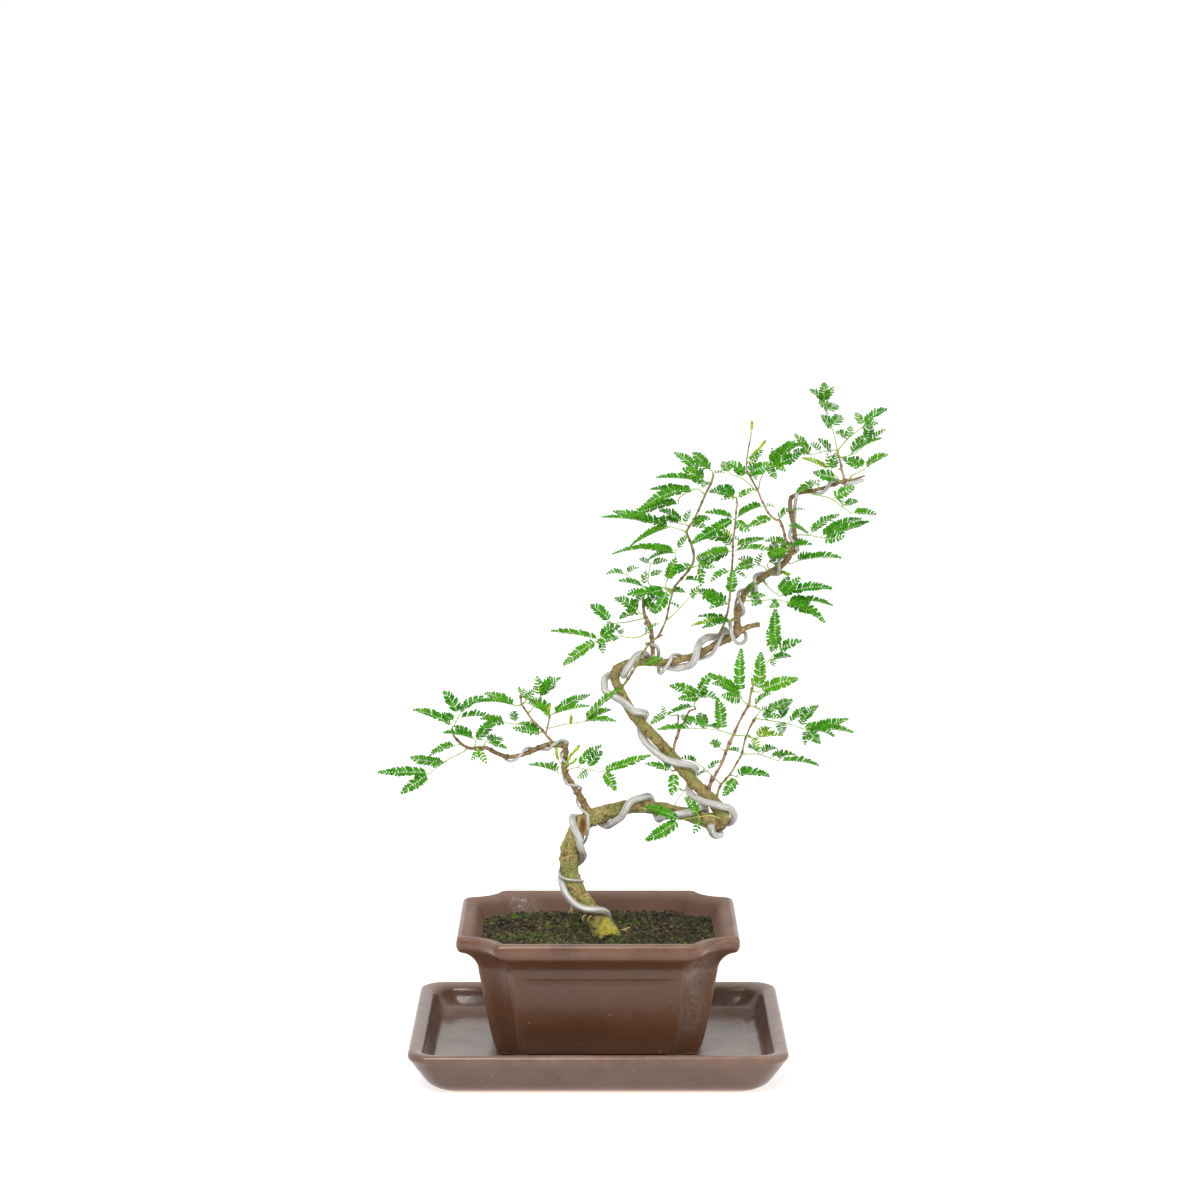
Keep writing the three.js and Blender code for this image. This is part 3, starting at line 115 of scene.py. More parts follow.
# The same keys at the scooped corners, where the wall flares out without a band
POT_HORN = table("""
    25,11.3,1 22.3,12.5,0.7 19.7,17,0.15 11.4,58,0.1 10.4,62.5,0.1 8.7,66.2,0.1 6.2,69.3,0.1 3.1,71.7,0.2
    0.8,73.8,0.3 0.1,77.3,0.6 1.9,80,1
""")
POT_INSIDE = table("6.4,79,0.5 8.8,77,0.3 11.9,71,0 14.9,66,0 17.8,60,0 24.5,23,0 26,22,0")
SAUCER_PROFILE = table("""
    16.5,0,1 14,1.2,0.6 10.5,4,0 4.6,13,0 2.1,17.2,0 1,18.9,0.3 0.1,20.3,0.4 0.1,22.3,0.8 1.6,23.7,1 5.8,22.9,0.7
    7.8,21.2,0.3 9.5,17,0 13,12.2,0 18,11,0
""")

# Worn and scuffed spots of the glaze as (x, y, z and the three half sizes)
GREY_WEAR = table("55,-47,62,12,13,17 51,-40,38,10,11,24 -44,50,74,14,8,7")
WHITE_SCUFFS = table("""
    -44,50,75,8,7,4 -68,-14,11,4,5,2 52,-41,22,3,4,5 33,-41,16,5,5,2 -55,-59,76,3,3,4 -72,-47,77,3,3,3
""")

# Wood, root to tip: keys are (x, depth, z, radius), and a key without a radius takes it from its neighbours.
MAIN = table("""
    5,-8,56,6.5 4,-8,68,6.5 0.5,-7.5,76,5.4 -5.7,-6,85,4.7 -10.3,-4.5,92,4.8 -13.8,-3,99,4.9 -15.4,-2,105,4.4
    -15.8,-1,111,5 -14.8,0,118,5 -12.2,1,125,4.7 -9.3,2.5,130.5,4.6 -4.5,4,134.3,4.6 1,5,136.3,4.5 8,5.5,138.6,4.2
    16,5,140.6,3.7 25,4,140.8,3.4 34,2.5,139.8,3.4 43,1,137.6,3.4 51,-0.5,135.8,3.5 58,-1.5,133.6,4
    64,-1.5,132.3,4.6 66.6,-0.5,135.5,4.2 64.5,1,140.5,3.7 60.5,2,145,3.5 55.5,3,150,3.2 50,4,156,3.2
    44,4.5,163,3.2 38,4.5,170.5,3 31,4,178,2.9 24,3,185.5,2.8 18.5,2,192,2.8 14.3,1,199,2.6 11.5,0,205,2.4
    8.9,-1,210.5,2.3 9.6,-1.5,215.3,2.3 14.5,-1.5,218.6,2.2 21,-1,219.8,2.1 30,0,219.6,2.1 38,1,219.7,2
    45,2,221.5,1.9 52,2.5,223.2,1.9 58,3,226.4,1.9 64,3.5,230,1.9 69.5,4,232.8,2 74,4.5,235.8,2.4 74.3,5,240.5,1.9
    74.4,6,246,1.6 76,7,251.5,1.6 78.5,8,257.5,1.7 83.5,8.5,262.3,1.7 90,8.5,267.3,1.7 95.5,8,270.7,1.7
    100,7,274.5,1.6 102.7,6,279.5,1.5 104.3,5,285.5,1.3 104.2,4,291,1.2 103,3.5,297,1.2 101.9,3,303,1.15
    102.3,3,308,1.05 105.5,3,310.3,1 112,3.5,311.7,0.95 119,4,313.4,0.9 125.5,4,315.6,0.95 130.8,4,317.4,1
    135.5,4,318,0.7 141.3,4,320,0.45
""")

ROOT = table("4,-8,47.9,8 4,-8,69.6,8 3.4,-8,71.6,7.3 1,-7.5,76,5.8")

ELBOW_KNOB = table("67,-1,131.8,3.9 68.9,-1,131.8,2.2")

LEFT_BRANCH = table("""
    -5,4,134,3 -5.5,4,137.5,2.6 -7.5,3.5,142,2 -10,3,147,1.7 -12.8,2.5,151.5,1.6 -15,2,155,1.5 -17.3,1.5,159,1.5
    -18.6,1,163,1.4 -17.9,0.5,167.5,1.4 -17.3,0,171,1.4 -18.8,-0.5,174.6,1.6 -23,-1,174.8,1.7 -28,-1.5,174.6,1.4
    -35,-2,171.6,1.3 -41,-2.5,169.3,1.2 -48,-3,168.2,1.15 -54,-3,170,1.1 -60,-3.5,173,1 -65,-4,173,0.9
    -70,-4,173.2,0.8 -77,-4,179,0.6 -78.5,-4,183.5,0.5
""")

# From this key of the trunk on, its wood is the leader, a limb of its own
LEADER_KEY = 20

STUBS = [
    table("-10.3,2,126,4.6 -10,1.7,131,4.1 -9.2,1.5,134.4,3.2 -8.9,1.5,135.9,2"),
    table("75,4.5,236,1.7 78.5,4,238.2,1.4 82.5,3.5,239.6,1.3 86.3,3,240.2,1.3"),
    table("73.8,5,241.5,0.9 72.8,4.5,246,0.7 73.3,4,251,0.65 74,4,254.6,0.6"),
    table("56,3,150,1 58,2.6,152.6,0.8"),
]

# Wires: places in the open as (x, depth, z), and turns as (key of the limb, degrees from the front, slack)
WIRE_FOOT = table("""
    5.8,5,58 5.7,3.4,68 5.5,1,75.5 5.3,-2.4,79.5 4.3,-7.2,82 1.4,-12,83.4 -2.9,-13.7,83.7 -6.8,-13.2,84.1
    -9.9,-12.2,85.3 -13.1,-10.8,87.5 -15.9,-9.2,90.5 -18,-7.6,94.2 -19.4,-5.2,98.6
""")

LOWER_WIRE_TURNS = table("5.6,-130 6.3,-190 7.4,-260 8.2,-312 8.9,-345")

OVER_STUB = table("-12.7,-5.3,128.6 -13.7,-4.4,132 -14,-1.2,134.5 -13.4,3,135 -11,7.6,134.7 -6,12.2,134.6")

RUN_WIRE_TURNS = table("""
    11.8,-580 12.6,-660 13,-674 13.5,-689 13.9,-720 14.2,-754 14.5,-772 14.8,-783 15.1,-810 15.4,-900 16.2,-1045
    17,-1080 17.9,-1110 18.1,-1130 18.3,-1160 18.6,-1200 18.9,-1245 19.4,-1290 20,-1345 19.7,-1390 19.4,-1440
""")

UPPER_WIRE_TURNS = table("""
    20.4,175 20.8,120 21.1,85 21.8,25 22.9,-15 23.8,-50 24.4,-90 24.8,-150 25.1,-190 25.3,-265 25.8,-310 26.3,-350
    26.9,-392 27.5,-420 28.1,-445 28.6,-482 29,-530 29.4,-620 29.8,-662 30.2,-698 30.7,-714 31.3,-735 32,-775,1
    32.5,-800,2.2 33,-835,1.2 33.3,-900,0.9 33.8,-975,0.6 34.3,-1002 34.8,-1040 35.4,-1080 35.9,-1132 36.2,-1160
    36.8,-1260 38,-1300 38.6,-1340 39.1,-1350 39.6,-1395 39.95,-1440 40.3,-1485 40.9,-1530,1 41.5,-1530,1.3
""")

UPPER_WIRE_END = table("64.8,9.6,234 69,11,238")

HOOK = table("""
    28.4,3.9,229.4 26.2,2.4,229.5 26.1,-0.6,229.7 28.7,-2.3,229.6 31.2,-1,228.2 32.3,1,225.8 32.3,4.4,224.2
    32.2,7.8,221.8 32.2,8.7,218.4 32.4,6.2,214.8 33.2,1.8,213.7 34.8,-1.9,215.2
""")

THIN_WIRE_TURNS = table("37.9,0 38.4,-90 39.2,-180 40.3,-240 41,-280 41.7,-345 42,-360 42.6,-420 43.1,-450 43.7,-540")

FORK_LOOP = table("78,9,236 78.5,4,231.5 75,0,229.8 72.2,-1.5,232.5 71,-1,236.8 70.4,2,240 70.6,6.2,242 73,9.4,243.5")

LEADER_WIRE_TURNS = table("""
    46.2,-270 47,-360 47.7,-450 48.2,-540 48.7,-630 49,-720 49.3,-810 50,-900 50.8,-990 51.2,-1080 51.7,-1170
    52.5,-1260 53.3,-1350 53.9,-1440 54.5,-1530 55.3,-1620 57,-1700 58.5,-1730 58.9,-1800 59.4,-1890 60,-1980
    60.6,-2070 61.4,-2160 61.9,-2250 62.5,-2340 63.2,-2430 64.8,-2430
""")

BRANCH_WIRE_ON_TRUNK = table("4.75,72 5.3,0 6,-85 6.7,-175 8,-185 8.8,-265")

BRANCH_WIRE_CROSSING = table("-5.2,-4,128 -5.3,-3.8,132 -6,-1.8,136.5")

BRANCH_WIRE_TURNS = table("""
    1.9,-410 2.4,-450 3.1,-540 3.6,-630 4.6,-720 5.2,-810 6.3,-900 7.2,-990 7.8,-1080 8.4,-1170 9.3,-1260 10,-1350
    11.4,-1440 12,-1530 12.8,-1620 13.5,-1710 14.2,-1800 15,-1890 15.6,-1980
""")

# Leaves that grow from the wood, and then the leafy twigs
GROWTH = growth_table("""
leaf_left_tip_outer leaf -71.5,-4.5,171.5 -80,-7,167 -90.5,-9,159.3 > 1,-117,-16,159.5,45 1,-105,-14,149,80
0.55,-100,6,168,60 0.55,-88,-22,162.5,40
leaf_left_tip_small leaf -73.5,-4.5,175 -75.5,-6,174.7 > 1,-89,-12,169.5,30
leaf_left_tip_top leaf -78.3,-4,183.8 -76.3,-3,187 -75,-2,190.5 > 1,-82,4,203,60 1,-62.5,2,200.5,35
0.8,-57.5,1,189.5,20 0.55,-85,8,190.5,40 0.15,-98,-10,193.5,40
leaf_left_tip_inner leaf -66,-4,174.5 -66,-5,177.5 > 1,-82,-14,181,20 1,-76.5,4,184.5,30 1,-58,14,187,60
leaf_left_tip_inner_b leaf -65,-5.5,172 -64.5,-9,173 > 1,-60.5,-14,165.5,90 1,-67.5,-14,167,80
leaf_left_tip_right leaf -61,-4,175 -60.6,-5.6,176.6 > 1,-50.3,-9,173,30 1,-52,10,177,20
leaf_left_branch_side leaf -18.3,0.5,158.7 -21,-1,159.3 > 1,-36,-6,163.5,20 1,-26.5,8,164.3,20
leaf_left_branch_long leaf -16.4,-0.8,161.2 -11,-4,162.3 -5,-7,160.8 2,-10,160.3 > 0.3,1,2,173.8,35
0.6,1.5,4,170.5,60 0.6,-10.5,-14,157,90 1,9,-18,151,90 1,27,-12,168.5,45
leaf_elbow leaf 64.8,-6.6,134.5 60,-12,136 53,-13,135 44,-12,133.5 > 0.55,47.5,-10,145,40 0.55,52,-18,127,90
1,26.5,-16,140.5,55 1,27,-18,123,75
leaf_trunk_small leaf 41.2,-1.5,141.5 43.5,-3,146 46,-3,149 > 1,48.5,-3,151.5,30 1,43,-8,150,30
leaf_trunk_top leaf 24.2,-3.4,218 > 1,33.5,-6,221.8,60
leaf_leader_1 leaf 73.5,3,242.5 71,0,242.5 > 1,51,-4,239.6,20 1,54.3,8,244.5,30 1,57,-8,238.5,25
leaf_leader_2 leaf 78.3,4.6,255.3 79.2,3,255.8 > 1,88,-5,255.5,50 1,84.5,-1,262,35
leaf_leader_3 leaf 79,6,253 88,2,253.3 96,0,253.5 101,-2,252 > 0.4,82.5,-8,251,70 0.75,92,-10,249.7,85
1,120,-16,242,40 1,124,4,250.5,30 1,115.5,-12,246,45 1,112,2,252.5,60
leaf_leader_4 leaf 88,7.4,263.2 92.5,4,258.5 97,2,255.2 > 0.2,88,-2,263,60 0.8,101,8,265,60 1,106.5,-2,264.5,60
1,123.5,-6,259.7,50
leaf_leader_5 leaf 88.2,7.5,271.3 83.5,5,272.3 > 1,74,-6,270,60 1,75.5,12,275.5,60 1,86.8,0,278,60
leaf_leader_5_b leaf 90,7,272 91.5,6,274.5 > 1,99.3,-4,277,45 1,94.5,-4,271.5,20 1,94,17,284,40 1,102,12,283,40
leaf_leader_7 leaf 102,6,273 105,4,274 > 1,128,-4,276,30 1,113,10,277.8,35
leaf_leader_8 leaf 102.1,3.6,280 101.6,1,281.6 > 1,112.5,-10,283,40 1,108,8,286,35 1,92,-3.5,277.5,45
1,90,12,285,40
leaf_leader_9 leaf 105,5,288.3 108,4,288.4 113,2,288 119.5,0,286.7 > 0.5,127,10,298.7,35 0.5,102,-8,292.8,30
1,129.7,-8,287.3,70 1,142.7,0,295,35 1,129,10,294.3,40 1,138.5,6,296.7,30
leaf_leader_10 leaf 103,2,301 > 1,109,0,302,20
leaf_leader_11 leaf 116.8,3,314 116,3,315.5 > 1,106.3,-2,311.5,35 1,111.8,8,317.2,60 1,117,4,318.3,40
leaf_leader_12 leaf 112.6,2,310.8 117,-1,309.5 123,-1.5,308 130,-4,303 133.7,-5,300.3 > 0.5,134.7,-2,313.5,70
0.8,137,4,306.5,40 1,146.3,-8,299.3,35 0.8,127,-10,307,30
leaf_leader_13 leaf 127.2,2.2,318.6 122.3,0,323 > 0.15,115,-8,321.5,70 1,109,-4,328.7,30 1,121.5,-2,331,60
1,125.5,6,331,60
leaf_leader_13_b leaf 133.8,3,319.6 137,1,321.4 141,-1,323.3 > 1,152.3,-6,330.7,40 1,133.5,9,329,60
1,130.3,6,329,60


twig_left_branch
stem -24,-1,175.5,1 -28,-1.5,180.3,0.8 -31,-2,184,0.75 -35,-2.5,188,0.7 -38,-3,192.3,0.65 -41,-3,197.3,0.6
-41.5,-3,202,0.8
spur -28,-1.5,181,0.6 -26.8,-2,186,0.5 -26,-2,190,0.45
leaf -35.5,-3,188 -43,-6,186 -49,-8,187 > 1,-61,-16,184.5,45 0.6,-45,4,192.5,40 1,-62,-10,188.5,25
leaf -28.8,-2.2,181.3 -30,-4,181.5 > 1,-44.5,-12,183.5,55 1,-42,10,186,30
leaf -41.5,-3.5,196.5 -44,-4.5,196 > 1,-66,-10,197.5,15 1,-60,6,202.5,45
leaf -40,-3.5,197.5 -39,-5,198.5 > 1,-34.5,-10,205,80 1,-40,2,205,70 1,-27,-12,190.3,20
leaf -36.5,-3,193 -33.5,-4,197.5 -31,-5,201 > 1,-32.5,-8,211,60 1,-26,-2,211,60 1,-21,-10,210.5,35
1,-23.5,4,207.5,30
leaf -26,-2,190.8 -24.5,-3,191.3 > 1,-5.5,8,201.5,40 1,-6,-12,195.5,25 1,-34,6,199,60
leaf -27,-3,183.8 -20,-6,185.5 -7,-10,187.5 > 1,12,-16,205,35 1,6,-2,193.5,25 1,8.5,-24,187.5,30

twig_diagonal_left
stem 40.5,4.5,170,1 41,4,175,0.8 42.8,3.5,180.5,0.9 44,3,184,0.6 46,2.5,187 47.5,2,190.5,0.6 49,2,193.2
52.3,2,194.3,0.5
spur 42.8,3.5,180.5,0.6 42.8,3.5,185,0.5 43,3.5,190.5,0.45
leaf 52,2,195 51.3,1.5,196.5 54,0,201 > 0.15,38.5,-4,191.7,15 1,44,-10,199.7,60 1,39.5,6,206.7,60 1,60,-6,213,60
1,62.5,-14,200,40
leaf 42.8,3.5,191 39.5,3,190.8 36,2,191.3 > 1,29,-6,186.5,40 1,34.5,-2,195.5,60

leaf_diagonal_low
stem 44,4.5,163,0.6 41.8,4,161,0.55 40,2,160.5,0.5
leaf 40,2,160.5 > 1,26.5,-2,164,35 1,39.5,-6,148.3,90 1,33.5,10,167,20

twig_diagonal_right
stem 59.5,2.5,147,1.7 60,2.5,152.5,1.3 62.3,2,157,1 64.5,1.5,161,0.9 66.7,1,165.5,1 68.7,0.5,171,0.8
70.5,0,175.5,1.2 72.5,-0.5,180,0.9 75.5,-1,187,0.75 78.3,-1.5,192.5,0.75 80.7,-2,196.5,0.9 81.4,-2,201,0.7
82.4,-2.5,206,0.8
spur 82.4,-2.5,206,0.5 85,-3,209.3,0.45 88,-3.5,211.5,0.4
spur 60,2.5,154,0.7 61,2.4,158,0.6
leaf 68.3,0.5,171.5 66,0,172.5 > 1,60.3,-6,175.3,15 1,61.5,8,177,60
leaf 73.7,-1,180 80,-3,179.7 84,-4,178.3 > 1,98,-4,179.6,15 1,91.5,8,183.7,20 0.5,82,-8,178.5,50
1,86.3,-10,173.7,85
leaf 72,-1,180.5 66,-2,182.3 57,-3,183.7 50.5,-3,183.8 > 0.3,64,-6,199.3,85 0.3,58,10,184.8,20
0.65,48.3,-8,188.7,40 0.65,54,12,191.5,60 1,33.5,-10,183,25 1,45,8,190.5,40
leaf 80,-2,197 77,-3,199.5 76.5,-4,203 > 1,76.3,-8,226,75 1,60,-2,212.5,45 0.6,67,-14,201.5,75 0.6,62,10,208,30
leaf 82,-2.5,195.8 86,-4,194.5 89,-5,193 > 0.2,91.5,-10,202,30 1,90.5,-14,188.8,85 1,103.5,10,199,60
1,95.7,-10,189.7,80
leaf 83.5,-3.5,203.8 86,-5,203.5 > 1,105.5,-8,210.5,75 1,86.8,2,224,75
leaf 88.5,-4,212.3 89.5,-4,218 92.5,-4,222 95.5,-4,226.5 > 1,94.5,2,247,75 1,107.5,-10,231,60 1,90.3,-12,236,60
0.6,102.5,6,222.7,35 0.6,94,-12,218,70

twig_elbow
stem 63.5,2,143,0.9 64.5,2.5,149,0.7 65.8,3,152.5,0.7 69,4,156.3,0.7 72,5,160.3,0.6 74.5,5.5,165,0.6 77,6,169.5,0.7
78,6.5,174,0.55 79.3,6.5,179,0.55 81.5,7,184.5,0.6 83.7,7,188.7,0.9
leaf 65.2,4,154 61,6,158 58.5,7,160.5 53,7,165 > 0.55,65.3,12,165.5,20 1,44.5,12,167,30 0.55,53.8,12,158,20
1,49.5,14,167.5,30
leaf 71,5,158.2 74.8,2,157.3 > 1,68,-6,147.8,85 1,91,-8,157.5,35 1,82,12,162,30
leaf 78.5,6,169.8 86,4,169.6 91,2,168 97,0,165.8 > 0.45,95,14,172.5,30 0.45,81,-8,173,20 0.7,105.5,12,169,25
1,117.3,-6,163.5,20 1,102,14,169,20
leaf 76.8,7,170.5 > 1,70,14,171.8,20
leaf 84.3,6.5,189 95,3,187.5 103,0,186 110,-2,183.3 112.5,-3,182 > 0.45,98.7,-10,181.5,90 0.45,101,12,196,30
0.6,110.5,10,194.7,35 0.85,133,4,188.5,45 0.85,117.3,14,195.7,40 1,135.5,-8,181.5,25 1,118.5,-18,176,80
1,111,-10,175.5,30 1,125.5,-14,179.5,20
leaf 84.5,7,190 87,7,193.5 > 1,92,14,194,40 1,83.5,10,195.7,40

twig_upper_left
stem 29.5,0,219,1.5 29.2,0.5,226,1.3 28.8,1,231,1.3 28.3,1.5,237,1.3 26.8,2,241.5,1.3 25,2.5,244.5,1 24.3,3,249,0.9
23.9,3,254,0.8
spur 26.8,2,239.5,1 24.7,1.5,241,0.9
leaf 24,3,254.5 25,2,257 > 1,17,-2,258,30 1,19,6,249,40 1,30,-4,247,60 1,30.5,6,259,60
leaf 24.3,1.5,246 22.5,0,246.3 > 1,12.5,-8,243.7,40 1,10,8,254,50
leaf 24,1.5,243.5 14,-2,241.3 7,-4,240.8 > 1,-3,2,250,55 1,4.5,-10,240.2,35
leaf 27,0,235.8 20,-3,233 8,-6,234 0,-8,231.5 > 0.1,31.5,-6,240,30 0.55,11.3,6,236.7,25 1,10.5,-4,239,60
1,-17.5,-10,219,60 1,-24,-4,236.3,25 0.6,0.5,-14,230.5,40 1,2.5,-14,225.5,85

twig_crown_left
stem 12,-1,205,0.8 15.5,-5,210 18.3,-7.6,214.5,0.75 21,-8.4,219 23,-8.2,223.5 25,-6.5,226.5 28.3,-4.5,231,0.65
32,-3,233.6 34,-2.5,237.5 36,-2,242 37,-2,246 38,-2,251,0.6 39,-2,255 40.5,-1.5,260 44,-1,264.5 47.5,-0.5,268.5
50.3,0,273 50.9,0,277,0.8 50,0,281.5 48.5,0,286,0.8 47,0,289.8,0.9 48.5,0,293,0.6 50.7,0,296.5 52.5,0,300,0.6
54.3,0,304 56,0,308,0.7 58,0,312.5 60,0,316.5,0.7 61,0,319.8,0.6
spur 28.3,-4.5,231,0.6 34.5,-4.5,234.7,0.5
leaf 61,0,320.3 60.5,0,322.5 > 1,52.3,-6,326.5,35 1,51,8,331.7,60 1,66,-4,321.5,40
leaf 58.8,-1,316.6 56,-2,316.8 > 1,32,-8,318.8,20 1,41.3,8,331.7,60 1,46,-4,323.3,75 1,55.5,-10,314,50
leaf 56.3,0,310.3 52.5,-2,313 47,-4,311 43,-5,308 42.7,-5,305 > 0.35,28.5,8,312.5,30 0.35,24,-16,303,50
0.9,16,-12,298,45 1,36.3,-10,304.2,30
leaf 44.3,-1,291 40,-2,292.3 37.5,-3,293 > 1,3,-10,297.7,25 1,22,-16,285.5,30 1,18,10,282.7,20 1,9,6,300.7,50
leaf 48,0,293.3 45,-1,294 > 1,33.5,-8,301,45 1,32.3,6,297,30 1,48.7,4,301,60
leaf 49.5,0,293.8 > 1,58.5,-4,296.7,45 1,56.5,-8,292.3,50 1,57.5,12,298,30
leaf 38.5,-3,257.5 36,-5,261 38,-6,268 41,-6,276 41.5,-6,280 > 1,47,-2,287.5,35 1,22,-12,282,45 1,9,4,278.3,25
0.3,41,-10,275,70 1,27,8,275,30
leaf 39.3,-2,256 36.5,-4,259 > 1,30.5,-14,247,90 1,17,-8,256.3,45 1,25,8,252,50 1,45.5,4,258,40
leaf 36,-1,260 30,0,259.5 24,2,260.5 19,0,264 15,-2,267 > 0.5,12,-8,263.3,25 0.5,25.3,8,268.3,30 1,5.5,-6,267.5,25
1,21,6,270.5,25
leaf 33,1,260.5 27,4,262 27,5,268 28,5,273 > 1,36,0,274.5,50 1,22.5,10,275.5,50 0.6,33.3,8,268.7,50
leaf 50.5,-1,271 53,-3,272 > 1,57,9,277,70 1,54.7,-8,262,30 0.5,38.5,-4,266.5,40 1,61,-6,271,60
leaf 44.5,-0.5,264 > 1,55.5,4,263,20
leaf 37,-2,243 43,-3,248.5 50,-4,255.5 54,-4,257 > 0.75,53.3,-10,260.3,60 1,65,-3,254,50 1,63.5,-8,251,60
0.4,38.3,-4,252,40

twig_crown_middle
stem 64.9,3.7,230,0.8 64.8,3.3,235,0.75 67,2,240 68.6,1,245,0.7 69.6,0,250 70.2,-1,256 70.5,-2,262,0.65 71,-2.5,268
71.4,-3,274 71.6,-3,280,0.6 71.8,-3,286 72.5,-3,291 73,-3,297,0.55 73.3,-3,302 73.8,-3,305 73.2,-3,308.5,0.45
spur 71.2,-2.8,271,0.7 71.4,-4.2,272.8,0.6
leaf 69.7,-0.5,252 > 1,60.5,-8,249,35 1,54,12,258.5,60
leaf 70.2,-1.5,256 > 1,71.5,-7,268.5,75
leaf 70.8,-2.5,269.5 > 1,61,-8,264,30 1,78,-5,265.7,20
leaf 71.5,-3,279.5 > 1,55.5,-10,277,30 1,92,-13,279.5,25 1,57,2,273,60
leaf 71.7,-3,282 > 1,87.3,4,286.2,30 1,65.5,4,287,60
leaf 71.8,-3,286.5 > 1,58.5,6,287,60 1,66,-4,291.3,50 1,76,2,284,40
leaf 72.8,-3,297 > 1,58,-6,300,25 1,50.7,-8,284,50 1,79.5,-10,291,85 1,84,-8,303,30
leaf 73.2,-3,308 > 1,60,4,311.5,50 1,81.7,-4,312.5,50 1,66,-4,307.5,50 1,64,8,314,60

twig_crown_right
stem 103.8,5.6,281.4,0.9 99.9,4.8,285.5,0.9 98.7,4.5,290,0.8 97.6,4,293.5 96.3,3.5,296,0.9 94.5,3,296.5
92,2.5,298.3,0.65 90,2,300.5 88.3,2,304,0.6 86.5,1.5,307.5 84.7,1,312,0.6 82.5,1,316 80.3,1.5,319.8 79,2,321.8,0.6
78.6,2,326,0.45 79,2,331 79.7,2,335.5 80.5,2,339.5 81,2,343,0.4
spur 79,2,321.5,0.5 76.3,2,321,0.5
leaf 85,1,313.3 86,1,318 88.7,0,323.3 91.3,0,327 97,-1,329.5 > 0.6,93.7,-8,319,60 0.6,97.5,8,324.5,30
0.8,92,-6,334,60 1,100.3,2,337.5,45 1,103.5,-13,337.5,60
leaf 79.2,1.5,321.3 > 1,83.7,-8,318.3,50 1,90.3,-6,326,80 1,84,4,328.5,30 1,70,2,327,70
leaf 79.2,2,327 > 1,86.5,4,333,50
leaf 90.5,-0.5,326 > 1,98.5,-7,323,65 1,106,-3,331,70 1,107.5,5,336.5,35
leaf 84,0,312 80,-2,315.7 76,-4,318.7 70,-4,320.7 > 0.6,73,6,324,60 1,66,6,327,60
leaf 88.5,2,303.5 > 1,76,9,301.5,40 1,93,6,303.5,40
leaf 92,2.5,298.3 > 1,80.3,-8,293,50
leaf 95.5,3,296.5 > 1,101,-4,302,50

twig_crown_tip
stem 130.3,4,316.5,0.8 130,4,320,0.8 129,4,323 128.6,4,326,0.7 127.8,4,329 126.8,4,332.5,0.5
spur 128.9,4,323.3,0.6 127.4,3.6,323.6,0.5
leaf 129,3.5,330 135,2,331.5 142,1,337 > 0.3,140,10,340.5,45 0.3,149,-8,339.3,20 1,151,-4,343.7,40
1,143.7,8,346.5,45
leaf 127.3,3.5,334 133,2,340.5 140,1,346 > 0.4,126.3,-6,342.8,60 0.4,133.5,8,346,60 1,151.3,-2,354.7,40
1,136.3,8,353,60 1,147,-8,347.5,50
leaf 126,3.5,333.5 120,2,333 113,0,331 > 0.2,117,-8,338.7,60 0.6,113,8,337,50 1,104.7,-4,341,45 1,104,6,333,45
leaf 126.5,4,333.5 125,4,341 122,4,350 118.8,4,360.3 > 0.45,118.3,-8,351.5,70 0.45,127.8,14,351.8,70
0.75,117,-8,359,70 0.75,126.3,14,357,70 1,112.3,-6,365,60 1,123.7,8,366.5,60 1,119,-4,368.3,60
""")

# How old the wood is at keys of the trunk: 0 is green and young, 1 is grey brown.
TRUNK_AGE = table("0,0.1 4,0.2 8,0.1 16,0.25 20,0.35 24,0.2 32,0.15 36,0.5 44,0.8 68,1")

# Tips of side stalks that are still young and yellow, as (x, z)
YOUNG_TIPS = table("86.3,173.7 98,179.6 91.5,183.7 51,239.6 66,291.3 109,328.7")

# Leafy twigs that are olive and not brown
GREEN_TWIGS = ("twig_elbow", "twig_crown_left")

# Young shoots as places with the radius of their closed tip
SHOOTS = [
    (table("-19,0,163.5 -21.5,-2,166.5 -22.3,-3,169.5 -22.5,-3.5,172.5"), 0.8),
    (table("-18.4,-0.6,162.5 -16.5,-2.5,165 -15,-3.5,168.5"), 0.9),
    (table("-16.5,-2,166.8 -13.5,-3.5,170 -10.5,-4,173.5"), 1.1),
    (table("-17.5,-1.4,165.3 -14.5,-3,164.3 -12,-4,166.5"), 0.6),
    (table("-26,-2,190 -26.2,-2.2,193 -26,-2.4,196.5"), 0.8),
    (table("-41.5,-3,202 -41.8,-3.1,203.5 -42.2,-3.2,205"), 0.8),
    (table("82.4,-2.5,206 82.6,-2.7,208 82.5,-2.8,210"), 0.8),
    (table("81,2,343 81.2,2,345 81.3,2,347.5"), 0.7),
    (table("79,2,329 82,1,331.5 85,0,334 88,-1,337.5"), 0.6),
    (table("-14.6,-1.5,192 -14.4,-2.5,190 -14.5,-3,187.5"), 0.5),
]

# A young leaf by itself on the leader
LONE_LEAF = table("96.5,6.6,268.3 98.5,4,268 101,2,267")

